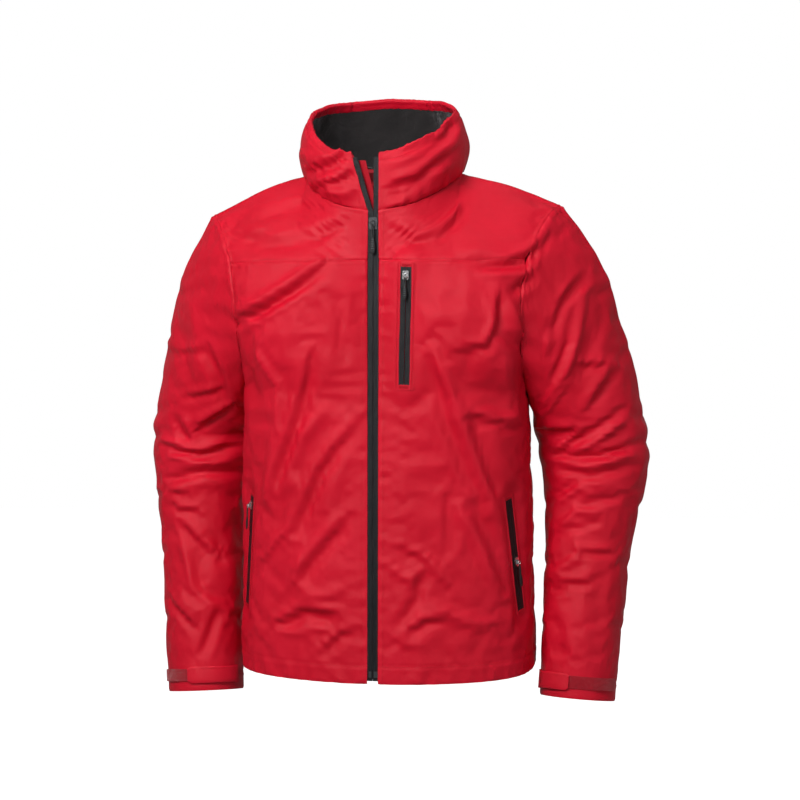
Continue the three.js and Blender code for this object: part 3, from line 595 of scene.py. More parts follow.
# collar: lumps, a roll at the rim and drag lines from the zip
CV = VERT[COLLARV]
ang = np.degrees(np.arctan2(CV[:, 0], -(CV[:, 1] + 5)))
hz = (CV[:, 2] - 655) / 80
cf = [([(-30, 745), (-60, 722), (-95, 712)], 'D', 7, 5), ([(-20, 715), (-55, 695), (-90, 690)], 'D', 6, 4.5), ([(-35, 728), (-70, 745), (-100, 770)], 'V', 6, 4),
      ([(-15, 690), (-45, 676), (-80, 690)], 'R', 6, 3.5), ([(-60, 735), (-85, 728), (-112, 735)], 'R', 8, 5), ([(-20, 660), (-24, 690), (-40, 716)], 'V', 4, 2.5),
      ([(25, 690), (60, 700), (100, 735)], 'D', 9, 5), ([(20, 715), (55, 728), (95, 760)], 'R', 8, 3.5), ([(80, 742), (98, 756), (106, 778)], 'V', 6, 6),
      ([(40, 735), (66, 745), (84, 765)], 'D', 5, 3.5), ([(18, 672), (50, 676), (84, 700)], 'V', 6, 3), ([(30, 664), (60, 680), (100, 716)], 'R', 5, 3)]
DISP[COLLARV] = facef[COLLARV] * fold_field(CV[:, [0, 2]], cf, 0) + faceb[COLLARV] * 2.2 * soft_noise(CV, 70, 9, 2) + 1.3 * soft_noise(CV, 45, 11, 2)
NECKV = np.zeros(len(VERT), bool)
for k in ("CFL", "CFR", "CBL", "CBR"):
    NECKV[IDX[k][:, 0]] = True
DISP[NECKV] = 0

# hem, cuffs, zip line and neck stay close to their own lines
HOLD = np.ones(len(VERT))
for k in ("FL", "FR", "BL", "BR"):
    for r in range(3):
        HOLD[IDX[k][:, r]] *= (0.45, 0.6, 0.8)[r]
for k in ("FL", "FR"):
    for c in range(4):
        HOLD[IDX[k][c, :]] *= (0.12, 0.4, 0.7, 0.9)[c]
for k in ("CFL", "CFR"):
    for c in range(2):
        HOLD[IDX[k][c, :]] *= (0.15, 0.6)[c]
for k in ("SL", "SR"):
    for r in range(5):
        HOLD[IDX[k][:, -1 - r]] *= (0.35, 0.35, 0.4, 0.6, 0.8)[r]
SHAPE = VERT + N0 * (DISP * HOLD)[:, None]

# ------------------------------------------------------------------ cloth
def cloth_pass(shape, hold, frames, slack, gravity, tether, cap):
    """lets the welded jacket settle as cloth that is a little larger than its own shape, held where it is sewn"""
    me = bpy.data.meshes.new("settle")
    me.from_pydata([tuple(v) for v in frm(shape)], [], [tuple(int(i) for i in q) for q in QUADS])
    ob = bpy.data.objects.new("settle", me)
    bpy.context.scene.collection.objects.link(ob)
    vg = ob.vertex_groups.new(name="held")
    w = np.clip(tether + (1 - tether) * hold, 0, 1)
    for val in np.unique(np.round(w, 2)):
        vg.add([int(i) for i in np.where(np.round(w, 2) == val)[0]], float(val), 'REPLACE')
    md = ob.modifiers.new("cloth", 'CLOTH')
    s = md.settings
    s.quality = 6
    s.mass = 0.12
    s.air_damping = 2.0
    s.bending_model = 'ANGULAR'
    s.tension_stiffness = s.compression_stiffness = 22
    s.shear_stiffness = 8
    s.bending_stiffness = 1.4
    s.tension_damping = s.compression_damping = s.shear_damping = 8
    s.bending_damping = 0.6
    s.shrink_min = slack
    s.vertex_group_mass = "held"
    s.pin_stiffness = 1.0
    s.effector_weights.gravity = gravity
    md.collision_settings.use_collision = False
    md.collision_settings.use_self_collision = False
    md.point_cache.frame_start, md.point_cache.frame_end = 1, frames
    sc = bpy.context.scene
    for f in range(1, frames + 1):
        sc.frame_set(f)
    dg = bpy.context.evaluated_depsgraph_get()
    ev = ob.evaluated_get(dg).to_mesh()
    co = np.zeros(len(shape) * 3, np.float32)
    ev.vertices.foreach_get("co", co)
    co = co.reshape(-1, 3).astype(float) * 1000 + np.array([0, LOOP_Y, LOOP_Z])
    sc.frame_set(1)
    bpy.data.objects.remove(ob)
    bpy.data.meshes.remove(me)
    d = co - shape
    # fine ripples die out near the neck, where the cloth is taut
    E = np.array(sorted({tuple(sorted((int(q[i]), int(q[(i + 1) % len(q)])))) for q in QUADS for i in range(len(q))}))
    deg = np.maximum(np.bincount(E.ravel(), minlength=len(shape)), 1)[:, None]
    taut = (smooth(530, 600, shape[:, 2]) * (1 - smooth(165, 215, np.abs(shape[:, 0]))))[:, None]
    for k in range(8):
        acc = np.zeros_like(d)
        np.add.at(acc, E[:, 0], d[E[:, 1]])
        np.add.at(acc, E[:, 1], d[E[:, 0]])
        d = d + (acc / deg - d) * (0.6 * taut + (0.25 * (1 - taut) if k == 0 else 0))
    d = d * (1 - 0.5 * taut)
    l = np.linalg.norm(d, axis=1, keepdims=True)
    print("settled: mean %.2f mm, 95%% %.2f, most %.2f" % (l.mean(), np.percentile(l, 95), l.max()))
    return shape + d * (cap * np.tanh(l / cap) / np.maximum(l, 1e-9))


SEWN = np.zeros(len(VERT))
for k in ("FL", "FR", "BL", "BR"):
    for r in range(3):
        SEWN[IDX[k][:, r]] = np.maximum(SEWN[IDX[k][:, r]], (0.55, 0.3, 0.1)[r])
    SEWN[IDX[k][:, R1 + R2]] = 0.45
    SEWN[IDX[k][:, -1]] = 0.8
    SEWN[IDX[k][-1, :]] = np.maximum(SEWN[IDX[k][-1, :]], 0.35)
for k in ("FL", "FR"):
    for c in range(3):
        SEWN[IDX[k][c, :]] = np.maximum(SEWN[IDX[k][c, :]], (1.0, 0.9, 0.4)[c])
for k in ("SL", "SR"):
    SEWN[IDX[k][:, 0]] = np.maximum(SEWN[IDX[k][:, 0]], 0.6)
    for r in range(7):
        SEWN[IDX[k][:, -1 - r]] = (1, 1, 1, 1, 0.8, 0.4, 0.15)[r]
for k in ("CFL", "CFR", "CBL", "CBR"):
    SEWN[IDX[k].ravel()] = 1.0
near = np.exp(-(VERT[:, 0] / 75) ** 2) * smooth(585, 640, VERT[:, 2])
SEWN = np.maximum(SEWN, 0.6 * near)
CLOTH = cloth_pass(SHAPE, SEWN, 22, -0.009, 0.10, 0.28, 2.6)
SHAPE = CLOTH


# the cloth lies flat under the three pocket zips
ZIPS = {
    "chest_pocket": (np.array([49.461, -192.582, -123.849]), np.array([45.461, -197.840, -287.849]), np.array([-0.124226, -0.991642, 0.034827])),
    "left_hand_pocket": (np.array([184.878, -144.271, -453.981]), np.array([199.878, -123.718, -615.981]), np.array([0.873355, -0.486709, 0.019117])),
    "right_hand_pocket": (np.array([-184.878, -144.271, -453.981]), np.array([-199.878, -123.718, -615.981]), np.array([-0.873355, -0.486709, 0.019117])),
}
for name, (top, bot, n) in ZIPS.items():
    top, bot = top + np.array([0, LOOP_Y, LOOP_Z]), bot + np.array([0, LOOP_Y, LOOP_Z])
    d = (bot - top) / np.linalg.norm(bot - top)
    rel = SHAPE - top
    t = rel @ d
    h = rel @ n
    side = np.linalg.norm(rel - np.outer(t, d) - np.outer(h, n), axis=1)
    over = np.maximum(np.maximum(-t, t - np.linalg.norm(bot - top)), 0)
    far = np.hypot(side, over)
    w = (1 - smooth(8, 34, far)) * (np.abs(h) < 40) * (N0 @ n > 0.2)
    SHAPE += np.outer(w * (-0.3 - h), n)

NORM = vertex_normals(SHAPE, QUADS)


def up1(A, f, axis, closed):
    """A with f times as many steps along an axis, by a cubic through its points"""
    A = np.moveaxis(A, axis, 0)
    n = A.shape[0]
    if closed:
        E = np.concatenate([A[-1:], A, A[:2]])
        segs = n
    else:
        E = np.concatenate([2 * A[:1] - A[1:2], A, 2 * A[-1:] - A[-2:-1]])
        segs = n - 1
    out = []
    for j in range(f):
        t = j / f
        p0, p1, p2, p3 = E[0:segs], E[1:segs + 1], E[2:segs + 2], E[3:segs + 3]
        out.append(0.5 * (2 * p1 + (p2 - p0) * t + (2 * p0 - 5 * p1 + 4 * p2 - p3) * t * t + (3 * p1 - p0 - 3 * p2 + p3) * t ** 3))
    R = np.stack(out, 1).reshape((segs * f,) + A.shape[1:])
    if not closed:
        R = np.concatenate([R, A[-1:]])
    return np.moveaxis(R, 0, axis)


UP = 3
HI, HN = {}, {}
for k in ORDER:
    g = SHAPE[IDX[k]]
    HI[k] = up1(up1(g, UP, 0, k in CLOSED), UP, 1, False)


def grid_normals(P, closed, out):
    a = np.gradient(np.concatenate([P[-1:], P, P[:1]]) if closed else P, axis=0)
    if closed:
        a = a[1:-1]
    b = np.gradient(P, axis=1)
    n = np.cross(a, b)
    if not out:
        n = -n
    return n / np.maximum(np.linalg.norm(n, axis=2, keepdims=True), 1e-9)


def edge_dist(P, side):
    """distance along the cloth from one side of a grid: 0 first column, 1 last column, 2 first row, 3 last row"""
    ax = 0 if side < 2 else 1
    step = np.linalg.norm(np.diff(P, axis=ax), axis=2)
    z = np.zeros((1, P.shape[1])) if ax == 0 else np.zeros((P.shape[0], 1))
    c = np.concatenate([z, np.cumsum(step, axis=ax)], axis=ax)
    if side == 1:
        c = c[-1:, :] - c
    if side == 3:
        c = c[:, -1:] - c
    return c


def pucker(P, d, side, amp, reach, seed, pitch=11.0):
    r = np.random.default_rng(seed)
    ax = 1 if side < 2 else 0
    e = {0: P[0], 1: P[-1], 2: P[:, 0], 3: P[:, -1]}[side]
    s = np.concatenate([[0], np.cumsum(np.linalg.norm(np.diff(e, axis=0), axis=1))])
    w = np.zeros_like(s)
    for k in range(7):
        w += r.uniform(0.4, 1) * np.sin(2 * np.pi * s / (pitch * r.uniform(0.7, 2.2)) + r.uniform(0, 6.28))
    w /= 2.2
    w = w[None, :] if side < 2 else w[:, None]
    return amp * w * np.exp(-(d / reach) ** 1.4) * np.minimum(1, d / 1.5 + 0.15)


def seam(P, N, side, seed, depth=1.2, amp=0.7, reach=13.0):
    d = edge_dist(P, side)
    h = -depth * np.exp(-(d / 1.8) ** 2) - 0.35 * np.exp(-((d - 6.0) / 1.6) ** 2) + 0.35 * np.exp(-((d - 3.4) / 1.6) ** 2)
    return h + pucker(P, d, side, amp, reach, seed)

# ------------------------------------------------------------------ materials
def nodes_of(name):
    m = bpy.data.materials.new(name)
    m.use_nodes = True
    nt = m.node_tree
    return m, nt, nt.nodes["Principled BSDF"]


def add(nt, kind, **kw):
    n = nt.nodes.new(kind)
    for k, v in kw.items():
        if k in n.inputs:
            n.inputs[k].default_value = v
        else:
            setattr(n, k, v)
    return n


def fabric(name, base, dark, light, rough=0.55, spec=0.35, weave=0.00045, weave_h=0.35, cloud=(9.0, 0.5), crinkle=(160.0, 0.25), sheen=0.0, sheen_tint=(1, 0.6, 0.6, 1), wear=0.25):
    m, nt, b = nodes_of(name)
    L = nt.links.new
    geo = add(nt, "ShaderNodeTexCoord")
    uv = geo.outputs["Object"]
    # broad colour drift
    n1 = add(nt, "ShaderNodeTexNoise", Scale=cloud[0], Detail=4.0, Roughness=0.55)
    L(uv, n1.inputs["Vector"])
    r1 = add(nt, "ShaderNodeValToRGB")
    r1.color_ramp.elements[0].position, r1.color_ramp.elements[0].color = 0.30, (*dark, 1)
    r1.color_ramp.elements[1].position, r1.color_ramp.elements[1].color = 0.72, (*light, 1)
    e = r1.color_ramp.elements.new(0.5); e.color = (*base, 1)
    L(n1.outputs["Fac"], r1.inputs["Fac"])
    # yarn-level speckle
    n2 = add(nt, "ShaderNodeTexNoise", Scale=1400.0, Detail=2.0)
    L(uv, n2.inputs["Vector"])
    mix = add(nt, "ShaderNodeMix", data_type='RGBA', blend_type='MULTIPLY')
    mix.inputs["Factor"].default_value = 0.22
    L(r1.outputs["Color"], mix.inputs["A"])
    r2 = add(nt, "ShaderNodeValToRGB")
    r2.color_ramp.elements[0].position, r2.color_ramp.elements[0].color = 0.35, (0.55, 0.55, 0.55, 1)
    r2.color_ramp.elements[1].position, r2.color_ramp.elements[1].color = 0.65, (1, 1, 1, 1)
    L(n2.outputs["Fac"], r2.inputs["Fac"])
    L(r2.outputs["Color"], mix.inputs["B"])
    # raised edges rub slightly paler
    g = add(nt, "ShaderNodeNewGeometry")
    r3 = add(nt, "ShaderNodeValToRGB")
    r3.color_ramp.elements[0].position, r3.color_ramp.elements[0].color = 0.50, (0, 0, 0, 1)
    r3.color_ramp.elements[1].position, r3.color_ramp.elements[1].color = 0.62, (1, 1, 1, 1)
    L(g.outputs["Pointiness"], r3.inputs["Fac"])
    mul = add(nt, "ShaderNodeMath", operation='MULTIPLY'); mul.inputs[1].default_value = wear
    L(r3.outputs["Color"], mul.inputs[0])
    mix2 = add(nt, "ShaderNodeMix", data_type='RGBA', blend_type='MIX')
    L(mul.outputs[0], mix2.inputs["Factor"])
    L(mix.outputs["Result"], mix2.inputs["A"])
    mix2.inputs["B"].default_value = (*[min(1, c * 1.25 + 0.01) for c in light], 1)
    L(mix2.outputs["Result"], b.inputs["Base Color"])
    # roughness drift
    mr = add(nt, "ShaderNodeMapRange")
    mr.inputs["From Min"].default_value, mr.inputs["From Max"].default_value = 0.3, 0.7
    mr.inputs["To Min"].default_value, mr.inputs["To Max"].default_value = rough - 0.06, rough + 0.07
    n3 = add(nt, "ShaderNodeTexNoise", Scale=35.0, Detail=3.0)
    L(uv, n3.inputs["Vector"]); L(n3.outputs["Fac"], mr.inputs["Value"]); L(mr.outputs["Result"], b.inputs["Roughness"])
    b.inputs["Specular IOR Level"].default_value = spec
    b.inputs["Sheen Weight"].default_value = sheen
    b.inputs["Sheen Roughness"].default_value = 0.45
    b.inputs["Sheen Tint"].default_value = sheen_tint
    # weave from the cloth's own grid, in metres
    u = add(nt, "ShaderNodeUVMap")
    u.uv_map = "cloth"
    sep = add(nt, "ShaderNodeSeparateXYZ"); L(u.outputs["UV"], sep.inputs["Vector"])
    def wave(sock, ph=0.0):
        a = add(nt, "ShaderNodeMath", operation='MULTIPLY'); a.inputs[1].default_value = 2 * math.pi / weave
        L(sock, a.inputs[0])
        s = add(nt, "ShaderNodeMath", operation='SINE'); L(a.outputs[0], s.inputs[0])
        return s.outputs[0]
    w1, w2 = wave(sep.outputs["X"]), wave(sep.outputs["Y"])
    wm = add(nt, "ShaderNodeMath", operation='MULTIPLY'); L(w1, wm.inputs[0]); L(w2, wm.inputs[1])
    bump1 = add(nt, "ShaderNodeBump"); bump1.inputs["Strength"].default_value = weave_h; bump1.inputs["Distance"].default_value = 0.00012
    L(wm.outputs[0], bump1.inputs["Height"])
    n4 = add(nt, "ShaderNodeTexNoise", Scale=crinkle[0], Detail=4.0, Roughness=0.6)
    L(uv, n4.inputs["Vector"])
    bump2 = add(nt, "ShaderNodeBump"); bump2.inputs["Strength"].default_value = crinkle[1]; bump2.inputs["Distance"].default_value = 0.0012
    L(n4.outputs["Fac"], bump2.inputs["Height"]); L(bump1.outputs["Normal"], bump2.inputs["Normal"])
    n5 = add(nt, "ShaderNodeTexNoise", Scale=28.0, Detail=3.0, Roughness=0.5, Distortion=0.6)
    L(uv, n5.inputs["Vector"])
    bump3 = add(nt, "ShaderNodeBump"); bump3.inputs["Strength"].default_value = crinkle[1] * 1.4; bump3.inputs["Distance"].default_value = 0.004
    L(n5.outputs["Fac"], bump3.inputs["Height"]); L(bump2.outputs["Normal"], bump3.inputs["Normal"])
    L(bump3.outputs["Normal"], b.inputs["Normal"])
    return m


def hard(name, color, metallic, rough, spec=0.5, scratch=0.15, bump=0.12, scale=240.0):
    m, nt, b = nodes_of(name)
    L = nt.links.new
    tc = add(nt, "ShaderNodeTexCoord")
    n = add(nt, "ShaderNodeTexNoise", Scale=scale, Detail=5.0, Roughness=0.65)
    L(tc.outputs["Object"], n.inputs["Vector"])
    r = add(nt, "ShaderNodeValToRGB")
    r.color_ramp.elements[0].position, r.color_ramp.elements[0].color = 0.3, (*[c * (1 - scratch) for c in color], 1)
    r.color_ramp.elements[1].position, r.color_ramp.elements[1].color = 0.7, (*[min(1, c * (1 + scratch) + 0.004) for c in color], 1)
    L(n.outputs["Fac"], r.inputs["Fac"])
    g = add(nt, "ShaderNodeNewGeometry")
    r3 = add(nt, "ShaderNodeValToRGB")
    r3.color_ramp.elements[0].position, r3.color_ramp.elements[0].color = 0.52, (0, 0, 0, 1)
    r3.color_ramp.elements[1].position, r3.color_ramp.elements[1].color = 0.66, (0.6, 0.6, 0.6, 1)
    L(g.outputs["Pointiness"], r3.inputs["Fac"])
    mix = add(nt, "ShaderNodeMix", data_type='RGBA', blend_type='MIX')
    L(r3.outputs["Color"], mix.inputs["Factor"]); L(r.outputs["Color"], mix.inputs["A"])
    mix.inputs["B"].default_value = (*[min(1, c * 1.8 + 0.05) for c in color], 1)
    L(mix.outputs["Result"], b.inputs["Base Color"])
    b.inputs["Metallic"].default_value = metallic
    mr = add(nt, "ShaderNodeMapRange")
    mr.inputs["To Min"].default_value, mr.inputs["To Max"].default_value = rough - 0.08, rough + 0.12
    L(n.outputs["Fac"], mr.inputs["Value"]); L(mr.outputs["Result"], b.inputs["Roughness"])
    b.inputs["Specular IOR Level"].default_value = spec
    bu = add(nt, "ShaderNodeBump"); bu.inputs["Strength"].default_value = bump; bu.inputs["Distance"].default_value = 0.0003
    L(n.outputs["Fac"], bu.inputs["Height"]); L(bu.outputs["Normal"], b.inputs["Normal"])
    return m


M = {
    "shell": fabric("shell_red", (0.600, 0.0032, 0.020), (0.550, 0.0022, 0.017), (0.640, 0.0045, 0.024), rough=0.46, spec=0.20, crinkle=(150.0, 0.20), sheen=0.0),
    # facing: the shell red made darker, painted shade for the strip recessed behind the zip
    "facing": fabric("facing_red", (0.40, 0.003, 0.014), (0.35, 0.002, 0.011), (0.45, 0.004, 0.017), rough=0.6, spec=0.12, sheen=0.0),
    "lining": fabric("lining_mesh", (0.20, 0.006, 0.013), (0.16, 0.005, 0.010), (0.25, 0.008, 0.016), rough=0.8, spec=0.15, weave=0.0022, weave_h=0.9, sheen=0.2),
    "pocket": fabric("pocket_tricot", (0.26, 0.007, 0.015), (0.22, 0.006, 0.012), (0.30, 0.009, 0.018), rough=0.8, spec=0.15, weave=0.0009, weave_h=0.6, sheen=0.2),
    "fleece": fabric("collar_fleece", (0.0210, 0.0188, 0.0190), (0.0150, 0.0135, 0.0138), (0.0290, 0.0262, 0.0265), rough=0.95, spec=0.1, weave=0.0018, weave_h=0.5, crinkle=(700.0, 0.9), sheen=0.9, sheen_tint=(0.35, 0.33, 0.34, 1), wear=0.1),
    "tape": fabric("zip_tape_black", (0.0085, 0.0072, 0.0088), (0.0065, 0.0055, 0.0068), (0.0110, 0.0095, 0.0112), rough=0.40, spec=0.20, weave=0.0007, weave_h=0.4, crinkle=(240.0, 0.10), sheen=0.0, sheen_tint=(0.5, 0.5, 0.5, 1), wear=0.15),
    "loop": fabric("loop_pile", (0.34, 0.007, 0.017), (0.28, 0.006, 0.013), (0.40, 0.010, 0.022), rough=0.95, spec=0.1, weave=0.0012, weave_h=1.0, crinkle=(900.0, 1.0), sheen=0.5),
    "web": fabric("loop_webbing", (0.36, 0.008, 0.018), (0.32, 0.007, 0.015), (0.40, 0.010, 0.021), rough=0.7, spec=0.2, weave=0.0016, weave_h=0.9),
    "thread": fabric("thread_red", (0.46, 0.003, 0.014), (0.40, 0.002, 0.011), (0.52, 0.004, 0.017), rough=0.5, spec=0.15, weave=0.0006, weave_h=0.4, crinkle=(500.0, 0.1)),
    "blackthread": fabric("thread_black", (0.02, 0.018, 0.02), (0.016, 0.014, 0.016), (0.026, 0.024, 0.026), rough=0.45, spec=0.4, weave=0.0006, weave_h=0.4, crinkle=(500.0, 0.1)),
    "coil": hard("coil_black", (0.009, 0.008, 0.009), 0.0, 0.38, spec=0.25),
    "darkmetal": hard("slider_dark_metal", (0.05, 0.05, 0.053), 0.9, 0.34),
    "metal": hard("slider_bright_metal", (0.62, 0.62, 0.63), 1.0, 0.24),
    "rubber": hard("pull_rubber", (0.0100, 0.0098, 0.0105), 0.0, 0.46, spec=0.32, scratch=0.25, bump=0.3, scale=900.0),
}

# ------------------------------------------------------------------ pieces
def link(o):
    bpy.context.scene.collection.objects.link(o)
    return o


def blend_front(o, side):
    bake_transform(o)


SPLIT = int(round(SU * 0.80))          # the row where the upper sleeve piece ends
AD = np.array([0.95, 0.0, -0.31]); AD /= np.linalg.norm(AD)
_s = lambda p, k: p @ (AD * np.array([k, 1, 1]))
ARM_A = max(max(_s(SHAPE[IDX["SL"][:, 0]], 1).max(), _s(SHAPE[IDX["SR"][:, 0]], -1).max()) + 1.5, 0)
ARM_B = min(_s(SHAPE[IDX["SL"][:, SPLIT]], 1).min(), _s(SHAPE[IDX["SR"][:, SPLIT]], -1).min()) - 2.5
FORE_A = min(SHAPE[IDX["SL"][:, SPLIT], 2].min(), SHAPE[IDX["SR"][:, SPLIT], 2].min()) - 2.0
FORE_B = 212.0
print("arm blend", ARM_A, ARM_B, "forearm blend", FORE_A, FORE_B)


def blend_arm(o, side):
    k = np.array([1 if side == "left" else -1, 1, 1])
    tuple(frm(AD * ARM_A * k))
    tuple(frm(AD * ARM_B * k))
    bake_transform(o)


def blend_fore(o, side):
    tuple(frm([0, 0, FORE_A]))
    tuple(frm([0, 0, FORE_B]))
    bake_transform(o)


def ride(body):
    return lambda o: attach(o, body)


def finish_piece(o, mat, on):
    o.data.materials.append(M[mat])
    on(o)
    return o


def mesh_obj(name, verts, faces, uvs=None, normals=None, smooth_faces=True):
    me = bpy.data.meshes.new(name)
    me.from_pydata([tuple(v) for v in verts], [], [tuple(int(i) for i in f) for f in faces])
    if uvs is not None:
        l = me.uv_layers.new(name="cloth")
        vi = np.empty(len(me.loops), dtype=np.int32)
        me.loops.foreach_get("vertex_index", vi)
        l.data.foreach_set("uv", np.asarray(uvs, float)[vi].ravel())
    else:
        me.uv_layers.new(name="cloth")
    if smooth_faces:
        me.polygons.foreach_set("use_smooth", np.ones(len(me.polygons), bool))
    if normals is not None:
        me.normals_split_custom_set_from_vertices([tuple(n) for n in normals])
    me.update()
    return link(bpy.data.objects.new(name, me))


def cloth_uv(P, closed=False):
    mid = P[:, P.shape[1] // 2]
    u = np.concatenate([[0], np.cumsum(np.linalg.norm(np.diff(mid, axis=0), axis=1))])
    mv = P[P.shape[0] // 2]
    v = np.concatenate([[0], np.cumsum(np.linalg.norm(np.diff(mv, axis=0), axis=1))])
    return np.stack(np.broadcast_arrays(u[:, None], v[None, :]), -1) / 1000


def thick(name, P, N, t, out, mat, on, off=0.0, closed=False, round_rim=True):
    """a cloth piece: outer grid P in mm, its normals, and a second skin t beneath"""
    n, m = P.shape[:2]
    outer = P - N * off
    inner = P - N * (off + t)
    uv = cloth_uv(P, closed)
    V = np.concatenate([outer.reshape(-1, 3), inner.reshape(-1, 3)])
    U = np.concatenate([uv.reshape(-1, 2)] * 2)
    NN = np.concatenate([N.reshape(-1, 3), -N.reshape(-1, 3)])
    ix = np.arange(n * m).reshape(n, m)
    if closed:
        ixc = np.vstack([ix, ix[:1]])
    else:
        ixc = ix
    a, b, c, d = ixc[:-1, :-1], ixc[1:, :-1], ixc[1:, 1:], ixc[:-1, 1:]
    q = np.stack([a, b, c, d], -1).reshape(-1, 4)
    if not out:
        q = q[:, ::-1]
    k = n * m
    F = [q, q[:, ::-1] + k]
    def rim(e, flip):
        r = np.stack([e[:-1], e[1:], e[1:] + k, e[:-1] + k], -1)
        F.append(r[:, ::-1] if flip else r)
    rim(ixc[:, 0], out); rim(ixc[:, -1], not out)
    if not closed:
        rim(ix[0, :], not out); rim(ix[-1, :], out)
    F = np.concatenate(F)
    o = mesh_obj(name, frm(V), F, U, NN)
    return finish_piece(o, mat, on)


def slab_grid(P, N):
    return P, N


BUILT = {}
UPF = UP
ROW = {"hem": 0, "arm": R1 * UP, "yoke": (R1 + R2) * UP, "top": (R1 + R2 + R3) * UP}
STITCH = []       # (points in mm (n,3), normals (n,3), thread, where)


def stitch_along(P, N, thread, on_key, offset_pts=None):
    STITCH.append((P, N, thread, on_key))


def at_dist(P, N, side, dist):
    """the line at a distance from one side of the grid, with its normals"""
    d = edge_dist(P, side)
    A = P if side < 2 else P.transpose(1, 0, 2)
    B = N if side < 2 else N.transpose(1, 0, 2)
    D = d if side < 2 else d.T
    if side in (1, 3):
        A, B, D = A[::-1], B[::-1], D[::-1]
    pts, nn = [], []
    for j in range(A.shape[1]):
        col = D[:, j]
        k = int(np.searchsorted(col, dist))
        k = min(max(k, 1), len(col) - 1)
        t = (dist - col[k - 1]) / max(col[k] - col[k - 1], 1e-6)
        t = min(max(t, 0), 1)
        pts.append(A[k - 1, j] * (1 - t) + A[k, j] * t)
        nn.append(B[k - 1, j] * (1 - t) + B[k, j] * t)
    return np.array(pts), np.array(nn)


def hem_fold(P, N, side, width=25.0):
    d = edge_dist(P, side)
    return -0.8 * np.exp(-((d - width) / 1.7) ** 2) + 0.5 * np.exp(-((d - width + 4) / 2.2) ** 2) - 1.0 * np.exp(-(d / 1.6) ** 2)


def declare(o, A):
    """A is the plain grid of the piece before any fold, so its size is the size the cloth was cut to"""
    du = np.linalg.norm(np.diff(A, axis=0), axis=2).sum(0).max() / 1000
    dv = np.linalg.norm(np.diff(A, axis=1), axis=2).sum(1).max() / 1000
    a, b = A[1:, 1:] - A[:-1, :-1], A[:-1, 1:] - A[1:, :-1]
    area_ = float(0.5 * np.linalg.norm(np.cross(a, b), axis=2).sum()) / 1e6
    SIZES.append((o.name, round(float(du), 3), round(float(dv), 3), round(area_, 4)))


